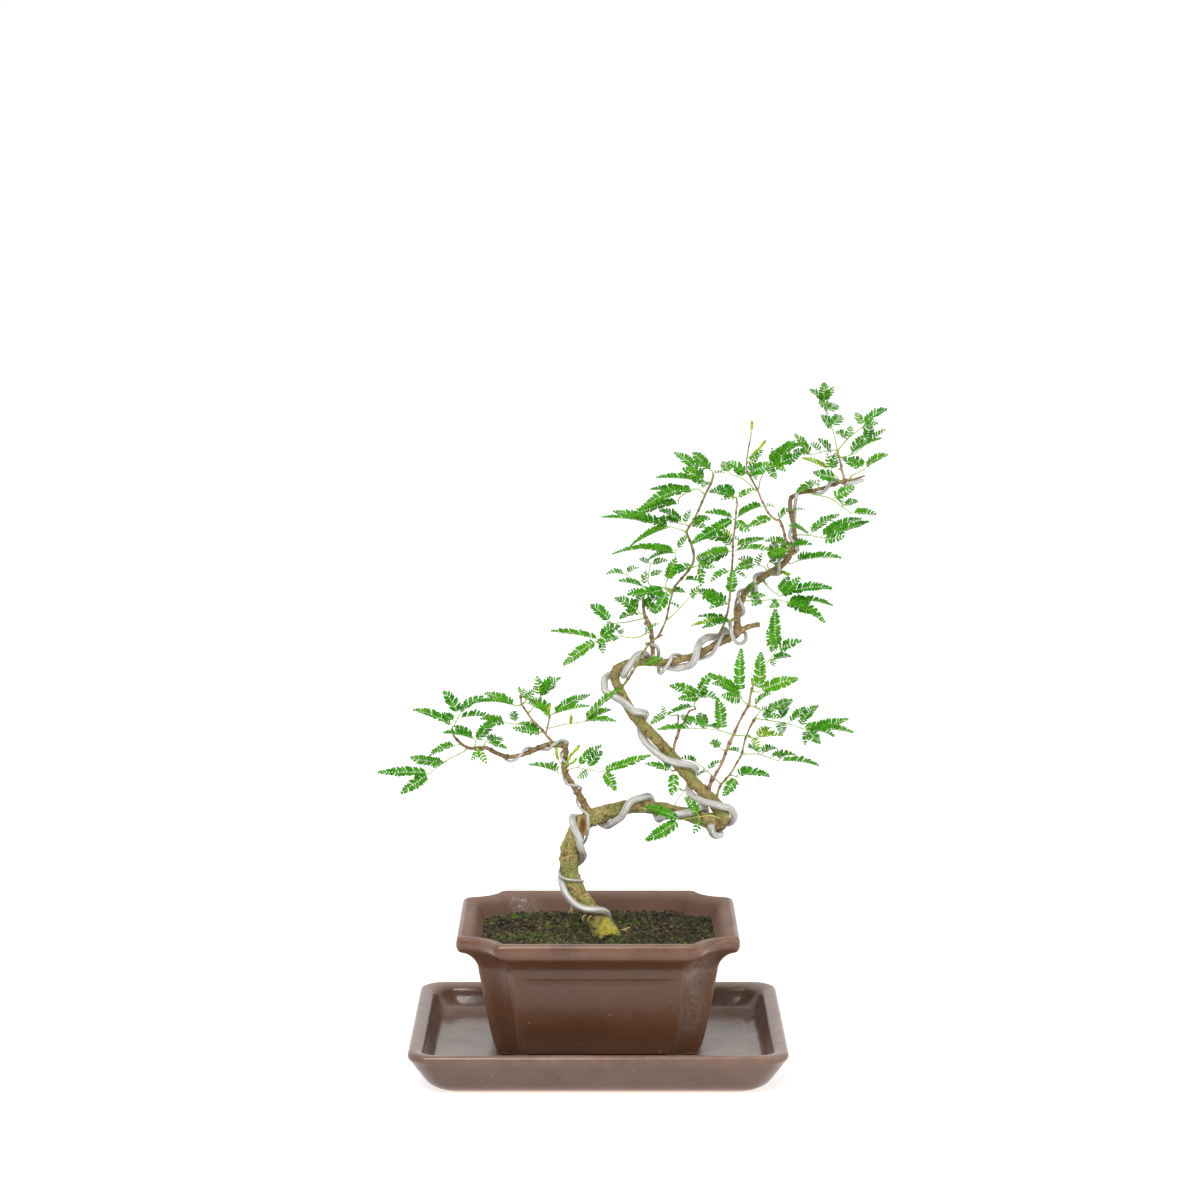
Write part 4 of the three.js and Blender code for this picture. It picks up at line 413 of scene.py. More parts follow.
# Short roots at the base of the trunk and sprouts on the soil
ROOTLETS = [
    table("-12.2,-9,90 -14.2,-10.6,86.6 -14.6,-10.8,84 -15.8,-10.6,82.2"),
    table("-14.4,-10.7,86 -13.8,-10.9,83.6 -14.1,-10.8,81.6"),
    table("-6,-11.6,81.6 -8.4,-13.4,79.4 -8.2,-13.8,77.6"),
    table("-3.6,-12.6,80.6 -5.2,-14,79 -5.4,-14.2,77.4"),
    table("12.6,-14,72.4 13.8,-21,72.6 15.6,-28,72"),
    table("13.6,-20,72.6 16.4,-20.5,73.8 17.2,-20.5,74.2"),
]
SPROUTS = table("""
    -46.6,30.5,1.9 -45,29.6,1.4 -37.1,38.9,1 -28.2,9.9,0.9 -29.2,-7.1,0.9 40.2,-17.5,1.9 42,-16.8,1.4
    46.1,-26.1,1.3 36.1,5.8,0.9 32.8,-8.3,0.8 3,27,0.9 12,21,0.8
""")


# Colours and node trees. Most helpers find the tree by the sockets that they are given.

def linear(code):
    """An sRGB hex colour as the linear RGBA that shaders take."""
    values = [int(code[start:start + 2], 16) / 255 for start in (1, 3, 5)]
    return (*[v / 12.92 if v <= 0.04045 else ((v + 0.055) / 1.055) ** 2.4 for v in values], 1.0)


def feed(socket, value):
    """Links an input to a socket, or gives it a value."""
    if isinstance(value, bpy.types.NodeSocket):
        socket.id_data.links.new(value, socket)
    else:
        socket.default_value = value


def add(tree, kind, settings=None, **inputs):
    """Adds a node. An input is named by its identifier or its name, with _ for a space."""
    node = tree.nodes.new(kind)
    for name, value in (settings or {}).items():
        setattr(node, name, value)
    for name, value in inputs.items():
        plain = name.replace("_", " ")
        found = ([s for s in node.inputs if s.identifier == name]
                 + [s for s in node.inputs if s.name == plain and s.enabled]
                 + [s for s in node.inputs if s.identifier == plain])
        feed(found[0], value)
    return node


def split(vector):
    return add(vector.id_data, "ShaderNodeSeparateXYZ", Vector=vector).outputs


def calc(operation, first, second=0.0):
    """One step of arithmetic. At least one of the two is a socket."""
    tree = (first if isinstance(first, bpy.types.NodeSocket) else second).id_data
    node = add(tree, "ShaderNodeMath", {"operation": operation})
    feed(node.inputs[0], first)
    feed(node.inputs[1], second)
    return node.outputs[0]


def times(first, second):
    return calc("MULTIPLY", first, second)


def plus(first, second):
    return calc("ADD", first, second)


def vector_calc(operation, first, second=None):
    """One step of arithmetic on vectors, with a number as the second for SCALE."""
    node = add(first.id_data, "ShaderNodeVectorMath", {"operation": operation})
    feed(node.inputs[0], first)
    if second is not None:
        feed(node.inputs["Scale" if operation == "SCALE" else 1], second)
    return node.outputs["Value" if operation == "LENGTH" else "Vector"]


def between(value, low, high):
    """The value's share of the way from low to high, held to 0 to 1."""
    return add(value.id_data, "ShaderNodeMapRange", Value=value, From_Min=low, From_Max=high).outputs[0]


def pattern(place, per_metre, detail=3.0, roughness=0.55, stretch=(1, 1, 1)):
    """Noise of a real size: features are about 1 / per_metre across."""
    scaled = add(place.id_data, "ShaderNodeMapping", Vector=place, Scale=stretch).outputs[0]
    return add(place.id_data, "ShaderNodeTexNoise", Vector=scaled, Scale=per_metre, Detail=detail,
               Roughness=roughness).outputs["Fac"]


def patches(low, high, *noise_inputs):
    """Noise sharpened into patches: 0 where it is under low, 1 where it is over high."""
    return between(pattern(*noise_inputs), low, high)


def dots(place, per_metre):
    """The distance to the nearest of many scattered dots."""
    return add(place.id_data, "ShaderNodeTexVoronoi", {"feature": "F1"}, Vector=place,
               Scale=per_metre).outputs["Distance"]


def near_spot(place, centre, size):
    """1 at a spot on the object and 0 outside its ellipsoid, both in millimetres."""
    offset = vector_calc("SUBTRACT", place, [c * MM for c in centre])
    return between(vector_calc("LENGTH", vector_calc("DIVIDE", offset, [c * MM for c in size])), 1, 0.55)


def blend(share, first, second):
    """Two colours mixed by a share, which is a socket; each colour may be a value or a socket."""
    node = add(share.id_data, "ShaderNodeMix", {"data_type": "RGBA"}, Factor_Float=share)
    sockets = {socket.identifier: socket for socket in (*node.inputs, *node.outputs)}
    for name, value in (("A_Color", first), ("B_Color", second)):
        feed(sockets[name], value if isinstance(value, bpy.types.NodeSocket) else (*value[:3], 1.0))
    return sockets["Result_Color"]


def shader(name):
    """A new material with its tree, its surface shader and its Object coordinates."""
    material = bpy.data.materials.new(name)
    material.use_nodes = True
    tree = material.node_tree
    tree.nodes.clear()
    surface = add(tree, "ShaderNodeBsdfPrincipled")
    tree.links.new(surface.outputs[0], add(tree, "ShaderNodeOutputMaterial").inputs[0])
    return material, tree, surface, add(tree, "ShaderNodeTexCoord").outputs["Object"]


def dress(surface, colour, roughness, specular=0.5, form=None, depth=0.0):
    """Gives a surface shader its colour, its gloss, and a bump of a real depth in metres."""
    feed(surface.inputs["Base Color"], colour)
    feed(surface.inputs["Roughness"], roughness)
    surface.inputs["Specular IOR Level"].default_value = specular
    if form is not None:
        bump = add(form.id_data, "ShaderNodeBump", Height=form, Distance=depth, Strength=1.0)
        feed(surface.inputs["Normal"], bump.outputs[0])


def stored(tree, name, output="Fac"):
    return add(tree, "ShaderNodeAttribute", {"attribute_name": name}).outputs[output]


def unrolled(tree, reach):
    """Coordinates round a limb and along it."""
    turn = split(stored(tree, "round", "Vector"))
    return add(tree, "ShaderNodeCombineXYZ", X=times(turn[0], reach), Y=times(turn[1], reach),
               Z=stored(tree, "along")).outputs[0]


# Finishes. Patches of noise are given as low, high, coordinates, features per metre, detail and roughness.

def layered(colour, *layers):
    """A colour under layers, each a mask, its strength and its own colour."""
    for mask, strength, tone in layers:
        colour = blend(times(mask, strength), colour, tone)
    return colour


def finish_ceramic(settings, name="satin_glazed_stoneware", film=0.0, gloss=0.0):
    """Stoneware under a thin satin glaze, fired brown: smooth, with fine grit, and paler where the glaze runs thin.

    The film is a share of dried lime and a dusting of dirt. Its colour is also laid on what faces up: partly a dusting
    that settles there, partly a painted sheen."""
    material, tree, surface, place = shader(name)
    wear, height = stored(tree, "wear"), split(place)
    normal = split(add(tree, "ShaderNodeNewGeometry").outputs["Normal"])
    cloud = patches(0.3, 0.7, place, 16, 3)
    grit = pattern(place, 1100, 2)
    # What faces up is painted greyer in the film's colour: partly a dusting that settles there, partly a painted sheen
    dust_and_sheen = times(plus(times(between(normal[2], 0.55, 1.0), 0.3), film), patches(0.1, 0.6, place, 60, 4))
    # Bare clay where the feet and the saucer stand
    bare = times(calc("GREATER_THAN", wear, 0.5), calc("LESS_THAN", height[2], 13 * MM))
    # Lime on the inner walls above the soil, which face the middle of the pot
    outward = plus(*(times(normal[i], height[i]) for i in (0, 1)))
    limed = times(calc("LESS_THAN", outward, 0.0), between(height[2], 40 * MM, 44 * MM))
    body = layered(
        blend(cloud, settings.dark, settings.body), (between(grit, 0.52, 0.7), 0.24, settings.pale),
        (times(wear, patches(0.25, 0.8, place, 90, 3)), 0.8, settings.edge), (dust_and_sheen, 1, settings.film),
        (bare, 0.8, settings.raw), (limed, 0.18, settings.edge))
    spotty = pattern(place, 420, 6, 0.75)
    for spots, low, high, share, tone in (
            (GREY_WEAR, 0.32, 0.72, 0.5, settings.film), (WHITE_SCUFFS, 0.56, 0.66, 0.6, settings.scuff)):
        worn = 0.0
        for x, y, z, *size in spots:
            worn = calc("MAXIMUM", worn, near_spot(place, (x, y, z), size))
        body = layered(body, (times(worn, between(spotty, low, high)), share, tone))
    specks = times(between(dots(place, 330), 0.13, 0.07), patches(0.64, 0.7, place, 42, 2))
    body = layered(body, (specks, 0.5, settings.scuff))
    rough = plus(plus(times(grit, 0.16), times(cloud, 0.08)), plus(times(bare, 0.4), times(limed, 0.4)))
    dress(surface, body, plus(rough, settings.gloss_roughness - gloss),
          form=plus(times(grit, 0.05), times(pattern(place, 45, 3), 0.8)), depth=0.5 * MM)
    return material


def finish_bark(settings):
    """Living bark: olive and smooth on young wood, grey brown and rough with age, with corky pores across it."""
    material, tree, surface, place = shader("living_bark")
    age, coarse, height = stored(tree, "age"), stored(tree, "coarse"), split(place)[2]
    skin = unrolled(tree, 4 * MM)
    cloud = patches(0.36, 0.64, place, 190, 5, 0.65)
    fibre = pattern(skin, 1400, 3, 0.6, (1, 1, 0.12))
    young = layered(blend(cloud, settings.olive, settings.tan),
                    (patches(0.44, 0.58, place, 110, 4, 0.6), 0.8, settings.green))
    base = blend(calc("MINIMUM", age, 1.0), young, blend(cloud, settings.brown, settings.grey))
    base = blend(between(age, 1.0, 1.5), base, blend(cloud, settings.twig, settings.twig_pale))
    stretched = add(tree, "ShaderNodeMapping", Vector=skin, Scale=(1, 1, 2.2)).outputs[0]
    pore = times(between(dots(stretched, 420), 0.26, 0.16), patches(0.42, 0.5, place, 210, 2))
    pits = times(patches(0.56, 0.62, place, 480, 5, 0.8), coarse)
    flecks = times(patches(0.55, 0.62, place, 850, 3, 0.75), coarse)
    # Broken reddish bark round the outside of the sharp elbow
    torn = times(near_spot(place, ELBOW, (5.5, 9, 7)), patches(0.42, 0.56, place, 300, 4, 0.75))
    # The pruned side of the first bend: dead wood with a rolled pale rim
    rim, inner = near_spot(place, SCAR, (3.6, 5.5, 7.4)), near_spot(place, SCAR, (2.5, 5.2, 6.2))
    dead = blend(between(fibre, 0.35, 0.65), settings.wound, settings.dark)
    # Moss climbs from the soil, lichen sits at the foot, and the lowest wood, just above the soil, is darker
    moss = times(between(height, 84 * MM, 72 * MM), patches(0.42, 0.6, place, 300, 4, 0.7))
    lichen = times(near_spot(place, LICHEN, (8.5, 9, 8)), patches(0.42, 0.56, place, 420, 5, 0.75))
    # A band of the fissure colour over the lowest few millimetres of wood
    darker_foot = times(between(height, 75 * MM, 71 * MM), patches(0.45, 0.6, place, 350, 3))
    base = layered(
        base, (between(fibre, 0.5, 0.75), 0.4, settings.dark), (pore, 0.85, settings.pore),
        (pits, 0.85, settings.dark), (flecks, 0.75, settings.pale), (stored(tree, "knot"), 0.75, settings.pore),
        (torn, 0.8, settings.pore), (rim, 0.7, settings.pale), (inner, 1, dead), (moss, 0.7, settings.moss),
        (lichen, 0.9, settings.lichen), (darker_foot, 0.8, settings.dark))
    form = plus(plus(times(fibre, 0.45), times(pore, 0.7)), times(pattern(place, 420, 5, 0.7), 1.9))
    dress(surface, base, 0.78, 0.25, calc("SUBTRACT", form, times(inner, 1.2)), 0.42 * MM)
    return material


def finish_wire(settings):
    """Soft annealed aluminium wire: drawn, so it has long fine lines, and dulled by weather."""
    material, tree, surface, place = shader("drawn_aluminium")
    # The drawing lines are finer than a pixel and are drawn about 0.5 mm apart to show
    lines = pattern(unrolled(tree, 2 * MM), 2600, 2, 0.5, (1, 1, 0.03))
    dull = patches(0.35, 0.7, place, 160, 4, 0.65)
    tone = layered(blend(between(lines, 0.35, 0.65), settings.dark, settings.metal), (dull, 0.5, settings.oxide))
    surface.inputs["Metallic"].default_value = settings.metallic
    dress(surface, tone, between(dull, -1.6, 1.7), form=plus(lines, times(pattern(place, 300, 3), 0.8)),
          depth=0.22 * MM)
    return material


def finish_leaflet(settings):
    """Thin soft leaflets: fresh green with a paler bluish underside, and yellow while young."""
    material, tree, surface, place = shader("fresh_leaflet")
    tint = stored(tree, "tint")
    upper = layered(blend(tint, settings.deep, settings.fresh),
                    (patches(0.4, 0.65, place, 30, 2), 0.35, settings.bright))
    base = blend(stored(tree, "under"), upper, blend(tint, settings.under, settings.under_pale))
    base = layered(base, (stored(tree, "young"), 0.6, settings.young))
    dress(surface, base, 0.5, 0.15, pattern(place, 1500, 2), 0.08 * MM)
    return material


def finish_stalk(settings):
    """Leaf stalks: smooth, yellow green, browner at the foot."""
    material, tree, surface, place = shader("leaf_stalk")
    base = layered(blend(patches(0.35, 0.65, place, 120, 3), settings.stalk, settings.stalk_pale),
                   (stored(tree, "young"), 1, settings.young), (stored(tree, "foot"), 0.7, settings.stalk_foot))
    dress(surface, base, 0.5, 0.3)
    return material


def finish_soil(settings):
    """Damp bonsai mix of burnt clay and grit, filmed over with dark green algae."""
    material, tree, surface, place = shader("damp_grit_soil")
    tint = stored(tree, "tint")
    algae = patches(0.42, 0.62, place, 45, 4, 0.65)
    moss = times(patches(0.54, 0.66, place, 330, 4, 0.75), algae)
    # Darker toward the right and in patches, and a painted shade, almost black, in the gaps between clods
    darker_right_and_patches = plus(between(split(place)[0], -0.02, 0.09), patches(0.45, 0.7, place, 60, 3))
    base = layered(
        blend(tint, settings.dark, settings.brown), (calc("GREATER_THAN", tint, 0.975), 0.6, settings.grit),
        (algae, 0.62, settings.algae), (moss, 0.8, settings.moss), (calc("MINIMUM", darker_right_and_patches, 1.0), 0.5, settings.dark),
        # Painted shade: noise patches turned almost black as the shadow in the gaps between clods
        (patches(0.5, 0.4, place, 300, 3, 0.6), 0.85, (0.004, 0.0035, 0.002)))
    dress(surface, base, 0.85, 0.3, pattern(place, 900, 4, 0.7), 0.6 * MM)
    return material


def finish_plain(name, code, roughness, speckle):
    """A dull organic or moulded surface, a little uneven in colour."""
    material, _, surface, place = shader(name)
    base = layered(code, (patches(0.35, 0.65, place, 350, 3), 0.5, speckle))
    dress(surface, base, roughness, 0.3, pattern(place, 1200, 3), 0.15 * MM)
    return material


# Lines in millimetres

def seen(key):
    """A drawn place at its depth."""
    x, y, z = key[:3]
    stretch = 1 + y / EYE_DISTANCE
    return np.array((EYE_X + (x - EYE_X) * stretch, y, EYE_HEIGHT + (z - EYE_HEIGHT) * stretch))


def drawn(keys):
    return [seen(key) for key in keys]


SCAR, LICHEN, ELBOW = drawn(table("-8.4,-2,130.4 6.5,-14,74.5 65.5,-2,130.5"))


def unit(vector):
    return vector / np.linalg.norm(vector)


def with_radii(keys):
    """Keys without a radius take it from their neighbours."""
    known = [index for index, key in enumerate(keys) if len(key) > 3]
    radii = [keys[index][3] for index in known]
    return [float(np.interp(index, known, radii)) for index in range(len(keys))]


class Line:
    """A smooth line through places, counted in places, as the solids have it."""

    def __init__(self, places, radii=None):
        self.places = [np.asarray(place, float) for place in places]
        self.radii = radii
        self.last = len(self.places) - 1

    def at(self, index):
        index = min(max(index, 0), self.last)
        low = min(int(index), self.last - 1)
        p1, p2 = self.places[low], self.places[low + 1]
        p0 = self.places[low - 1] if low > 0 else 2 * p1 - p2
        p3 = self.places[low + 2] if low + 2 <= self.last else 2 * p2 - p1
        d0, d1, d2 = [math.sqrt(max(np.linalg.norm(b - a), 1e-6)) for a, b in ((p0, p1), (p1, p2), (p2, p3))]
        start = ((p1 - p0) / d0 - (p2 - p0) / (d0 + d1) + (p2 - p1) / d1) * d1
        end = ((p2 - p1) / d1 - (p3 - p1) / (d1 + d2) + (p3 - p2) / d2) * d1
        s = index - low
        return (p1 + s * start + s * s * (3 * (p2 - p1) - 2 * start - end)
                + s ** 3 * (2 * (p1 - p2) + start + end))

    def ahead(self, index):
        return unit(self.at(index + 0.005) - self.at(index - 0.005))

    def radius(self, index):
        return float(np.interp(index, range(self.last + 1), self.radii))

    def across(self, index):
        """The two directions across the line: toward the viewer, and to its right."""
        ahead = self.ahead(index)
        front = unit(np.array((0, -1, 0)) + ahead * ahead[1])
        return front, np.cross(ahead, front)

    def steps(self, step):
        """Indices along the line, about one step apart."""
        indices = []
        for low in range(self.last):
            length = np.linalg.norm(self.places[low + 1] - self.places[low])
            count = max(1, math.ceil(length / step))
            indices += [low + part / count for part in range(count)]
        return [*indices, self.last]


def limb_line(keys):
    return Line(drawn(keys), with_radii(keys))


# Meshes

def made(name, points, faces, materials, edges=(), **attributes):
    """A mesh object from points in millimetres. An attribute of numbers or vectors is stored on the points."""
    mesh = bpy.data.meshes.new(name)
    mesh.from_pydata([tuple(p) for p in np.asarray(points, float) * MM], list(edges), list(faces))
    for label, values in attributes.items():
        vectors = np.ndim(values[0]) == 1
        layer = mesh.attributes.new(label, "FLOAT_VECTOR" if vectors else "FLOAT", "POINT")
        layer.data.foreach_set("vector" if vectors else "value", np.asarray(values, np.float32).ravel())
    for material in materials:
        mesh.materials.append(material)
    mesh.polygons.foreach_set("use_smooth", [True] * len(mesh.polygons))
    mesh.update()
    piece = bpy.data.objects.new(name, mesh)
    bpy.context.scene.collection.objects.link(piece)
    return piece


def ring_faces(rings, sides, closed_ends=True):
    """Quads from ring to ring, and a face over each end."""
    faces = []
    for ring in range(rings - 1):
        for side in range(sides):
            here = ring * sides + side
            after = ring * sides + (side + 1) % sides
            faces.append((here, after, after + sides, here + sides))
    if closed_ends:
        faces.append(tuple(reversed(range(sides))))
        faces.append(tuple(range((rings - 1) * sides, rings * sides)))
    return faces


def keep_shape(piece):
    """Makes what the modifiers of a piece give its plain mesh."""
    graph = bpy.context.evaluated_depsgraph_get()
    mesh = bpy.data.meshes.new_from_object(piece.evaluated_get(graph), depsgraph=graph)
    piece.modifiers.clear()
    piece.data = mesh


def grow(piece, tree, **inputs):
    """Runs a geometry tree on a piece and keeps the result as its plain mesh."""
    modifier = piece.modifiers.new("grow", "NODES")
    modifier.node_group = tree
    sockets = {item.name: item.identifier for item in tree.interface.items_tree
               if item.item_type == "SOCKET" and item.in_out == "INPUT"}
    for name, value in inputs.items():
        modifier[sockets[name]] = value
    keep_shape(piece)
    piece.data.materials.clear()
    piece.data.materials.append(inputs["Material"])
    piece.data.polygons.foreach_set("material_index", [0] * len(piece.data.polygons))
    return piece


def joined(name, pieces):
    """One object from several."""
    if len(pieces) > 1:
        with bpy.context.temp_override(active_object=pieces[0], object=pieces[0], selected_objects=pieces,
                                       selected_editable_objects=pieces):
            bpy.ops.object.join()
    pieces[0].name = name
    pieces[0].data.name = name
    return pieces[0]


def place_piece(piece, slot, *nodes):
    """The piece rides on the plant's one body and stands for its nodes."""
    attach(piece, "root")
    if nodes:
        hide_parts(*nodes)
    return piece


def new_tree(name, **sockets):
    """An empty geometry tree with named inputs, given as (type, default)."""
    tree = bpy.data.node_groups.new(name, "GeometryNodeTree")
    for way in ("INPUT", "OUTPUT"):
        tree.interface.new_socket("Geometry", in_out=way, socket_type="NodeSocketGeometry")
    for label, (kind, default) in {**sockets, "Material": ("Material", None)}.items():
        socket = tree.interface.new_socket(label, in_out="INPUT", socket_type="NodeSocket" + kind)
        if default is not None:
            socket.default_value = default
    return tree, tree.nodes.new("NodeGroupInput").outputs


def out(tree, kind, settings=None, **inputs):
    """The first output of a new node."""
    return add(tree, kind, settings, **inputs).outputs[0]


def with_values(shapes, name, value, domain, kind="FLOAT"):
    return out(shapes.id_data, "GeometryNodeStoreNamedAttribute", {"data_type": kind, "domain": domain},
               Geometry=shapes, Name=name, Value=value)


def random_number(tree, low, high, seed):
    """A random number for each point."""
    return add(tree, "FunctionNodeRandomValue", {"data_type": "FLOAT"}, Min_001=low, Max_001=high,
               Seed=seed).outputs[1]


def finish_tree(tree, given, shapes):
    """Makes the shapes real, gives them their material and hands them out."""
    shapes = out(tree, "GeometryNodeRealizeInstances", Geometry=shapes)
    shapes = out(tree, "GeometryNodeSetMaterial", Geometry=shapes, Material=given["Material"])
    feed(tree.nodes.new("NodeGroupOutput").inputs["Geometry"], shapes)
    return tree


def tube_tree():
    """A round cord along each line of a mesh, as thick as its stored thickness."""
    tree, given = new_tree("Round along a line", Sides=("Int", 12))
    thick = out(tree, "GeometryNodeInputNamedAttribute", {"data_type": "FLOAT"}, Name="thick")
    lines = out(tree, "GeometryNodeMeshToCurve", Mesh=given["Geometry"])
    ring = out(tree, "GeometryNodeCurvePrimitiveCircle", Resolution=given["Sides"], Radius=1.0)
    ring = with_values(ring, "round", out(tree, "GeometryNodeInputPosition"), "POINT", "FLOAT_VECTOR")
    return finish_tree(tree, given, out(tree, "GeometryNodeCurveToMesh", Curve=lines, Profile_Curve=ring, Scale=thick,
                                        Fill_Caps=True))


def leaflet_tree():
    """Leaflets in pairs along each line of a mesh, which stores the face's direction, their size and their lift."""
    tree, given = new_tree("Leaflets in pairs", Leaflet=("Object", None), Spacing=("Float", 0.0018),
                           Length=("Float", 0.0046), Width=("Float", 0.001), Spread=("Float", 1.05),
                           Seed=("Int", SEED))

    def value(name, kind="FLOAT"):
        return out(tree, "GeometryNodeInputNamedAttribute", {"data_type": kind}, Name=name)

    def chance(low, high, salt):
        return random_number(tree, low, high, plus(given["Seed"], salt))

    def mixed(first, first_share, second, second_share):
        return vector_calc("ADD", vector_calc("SCALE", first, first_share), vector_calc("SCALE", second, second_share))

    lines = out(tree, "GeometryNodeMeshToCurve", Mesh=given["Geometry"])
    lines = out(tree, "GeometryNodeResampleCurve", {"mode": "LENGTH"}, Curve=lines, Length=given["Spacing"])
    leaflet = add(tree, "GeometryNodeObjectInfo", Object=given["Leaflet"]).outputs["Geometry"]
    ahead = out(tree, "GeometryNodeInputTangent")
    side = vector_calc("NORMALIZE", vector_calc("CROSS_PRODUCT", ahead, value("up", "FLOAT_VECTOR")))
    up = vector_calc("NORMALIZE", vector_calc("CROSS_PRODUCT", side, ahead))
    size = value("size")
    both = add(tree, "GeometryNodeJoinGeometry")
    for salt, hand in ((11, 1.0), (47, -1.0)):
        spread = times(plus(given["Spread"], chance(-0.16, 0.16, salt)), value("open"))
        lift = plus(value("lift"), chance(-0.15, 0.15, salt + 1))
        away, rise = calc("COSINE", lift), calc("SINE", lift)
        reach = mixed(mixed(side, times(away, hand), up, rise), calc("SINE", spread), ahead, calc("COSINE", spread))
        face = mixed(up, away, side, times(rise, -hand))
        turn = add(tree, "FunctionNodeAxesToRotation", {"primary_axis": "X", "secondary_axis": "Z"})
        feed(turn.inputs[0], reach)
        feed(turn.inputs[1], face)
        scale = out(tree, "ShaderNodeCombineXYZ",
                    X=times(times(given["Length"], size), chance(0.88, 1.1, salt + 2)),
                    Y=times(times(given["Width"], calc("SQRT", size)), chance(0.85, 1.15, salt + 3)),
                    Z=given["Length"])
        half = out(tree, "GeometryNodeInstanceOnPoints", Points=lines, Instance=leaflet, Rotation=turn.outputs[0],
                   Scale=scale)
        feed(both.inputs[0], with_values(half, "tint", chance(0.0, 1.0, salt + 4), "INSTANCE"))
    return finish_tree(tree, given, both.outputs[0])


def grain_tree():
    """Angular grains scattered over a surface."""
    tree, given = new_tree("Grains on a surface", Gap=("Float", 0.0012), Density=("Float", 260000.0),
                           Smallest=("Float", 0.0005), Largest=("Float", 0.0014), Seed=("Int", SEED))

    def chance(low, high):
        return out(tree, "FunctionNodeRandomValue", {"data_type": "FLOAT_VECTOR"}, Min=low, Max=high,
                   Seed=given["Seed"])

    points = out(tree, "GeometryNodeDistributePointsOnFaces", {"distribute_method": "POISSON"},
                 Mesh=given["Geometry"], Distance_Min=given["Gap"], Density_Max=given["Density"], Seed=given["Seed"])
    grain = out(tree, "GeometryNodeMeshIcoSphere", Radius=1.0, Subdivisions=1)
    low, high = [out(tree, "ShaderNodeCombineXYZ", X=given[end], Y=given[end], Z=given[end])
                 for end in ("Smallest", "Largest")]
    grains = out(tree, "GeometryNodeInstanceOnPoints", Points=points, Instance=grain,
                 Rotation=chance((0, 0, 0), (6.3, 6.3, 6.3)), Scale=chance(low, high))
    tint = random_number(tree, 0.0, 1.0, given["Seed"])
    return finish_tree(tree, given, with_values(grains, "tint", tint, "INSTANCE"))


# Ceramics

# How far the pot's wall has turned into a corner at the points of its rib, and how worn it is there
RIB_TURN = [0.15, 0.45, 0.75, 0.92, 1, 1]
RIB_WEAR = [0.05, 0.3, 0.5, 0.5, 0.3, 0.05]
# A cut corner in shares of its cut: the ribs lie within RIB of its ends and run out RIB_RUN past them
MIDDLE_SHARES = (0.27, 0.38, 0.5, 0.62, 0.73)
RIB = 0.17
RIB_RUN = 0.18
SIDE_PARTS = 26
# The outer wall, which is tooled, lies further in than this
BAND_INSET = 5


def bend(first, corner, last, parts=5):
    """Points on a short curve that rounds a corner."""
    shares = [part / parts for part in range(parts + 1)]
    return [tuple((1 - s) ** 2 * a + 2 * s * (1 - s) * b + s * s * c for a, b, c in zip(first, corner, last))
            for s in shares]


def corner_run(scoop):
    """A cut corner as shares of its two cuts: scooped in between two ribs, or rounded where the scoop is below 0."""
    def place(share):
        turn = math.pi / 2 * share
        full = (math.sin(turn), math.cos(turn)) if scoop > 0 else (1 - math.cos(turn), 1 - math.sin(turn))
        return share + abs(scoop) * (full[0] - share), 1 - share + abs(scoop) * (full[1] - 1 + share)

    middle = [place(share) for share in MIDDLE_SHARES]
    return bend((0, 1 + RIB_RUN), (0, 1), place(RIB)) + middle + bend(place(1 - RIB), (1, 0), (1 + RIB_RUN, 0))


def outline(shape, inset, z, side_parts=1):
    """A rectangle with cut corners, seen from above and running anticlockwise."""
    x, y = shape["half_x"] - inset, shape["half_y"] - inset
    cut_x, cut_y = shape["cut_x"] - shape["shrink"] * inset, shape["cut_y"] - shape["shrink"] * inset
    quarter = [(x - cut_x * across, y - cut_y * along) for across, along in corner_run(shape["scoop"])]
    runs = [[(px * i, py * j) for px, py in quarter][::i * j] for i, j in ((1, 1), (-1, 1), (-1, -1), (1, -1))]
    points = []
    for run, (after, *_) in zip(runs, runs[1:] + runs[:1]):
        start = run[-1]
        points += run + [tuple(a + (b - a) * part / side_parts for a, b in zip(start, after))
                         for part in range(1, side_parts)]
    return [(px, py, z) for px, py in points]


def shell(name, shape, profile, material, step=1.1, horn=None):
    """A wall drawn along a smooth profile, closed over its underside and its floor.

    With a horn, the corners have that profile instead, their ribs are worn, and the sides are tooled."""
    line, other = [Line([(inset, z, wear) for inset, z, wear in keys]) for keys in (profile, horn or profile)]
    parts = SIDE_PARTS if horn else 1
    rest = [0] * (parts - 1)
    share = (RIB_TURN + [1] * len(MIDDLE_SHARES) + RIB_TURN[::-1] + rest) * 4
    rub = (RIB_WEAR + [0] * len(MIDDLE_SHARES) + RIB_WEAR[::-1] + rest) * 4
    indices = line.steps(step)
    points, wear = [], []
    for index in indices:
        inset, z, worn = line.at(index)
        ring = outline(shape, inset, z, parts)
        if horn:
            horn_inset, horn_z, _ = other.at(index)
            if inset > BAND_INSET:
                ring = [crease(shape, inset, point) for point in ring]
            ring = [tuple(a + (b - a) * turned for a, b in zip(*both, strict=True)) for *both, turned in
                    zip(ring, outline(shape, horn_inset, horn_z, parts), share)]
        points += ring
        outside = horn and index < len(POT_OUTSIDE) - 2
        wear += [min(max(worn, rib if outside else 0, 0), 1) for rib in rub]
    return made(name, points, ring_faces(len(indices), len(points) // len(indices)), [material], wear=wear)


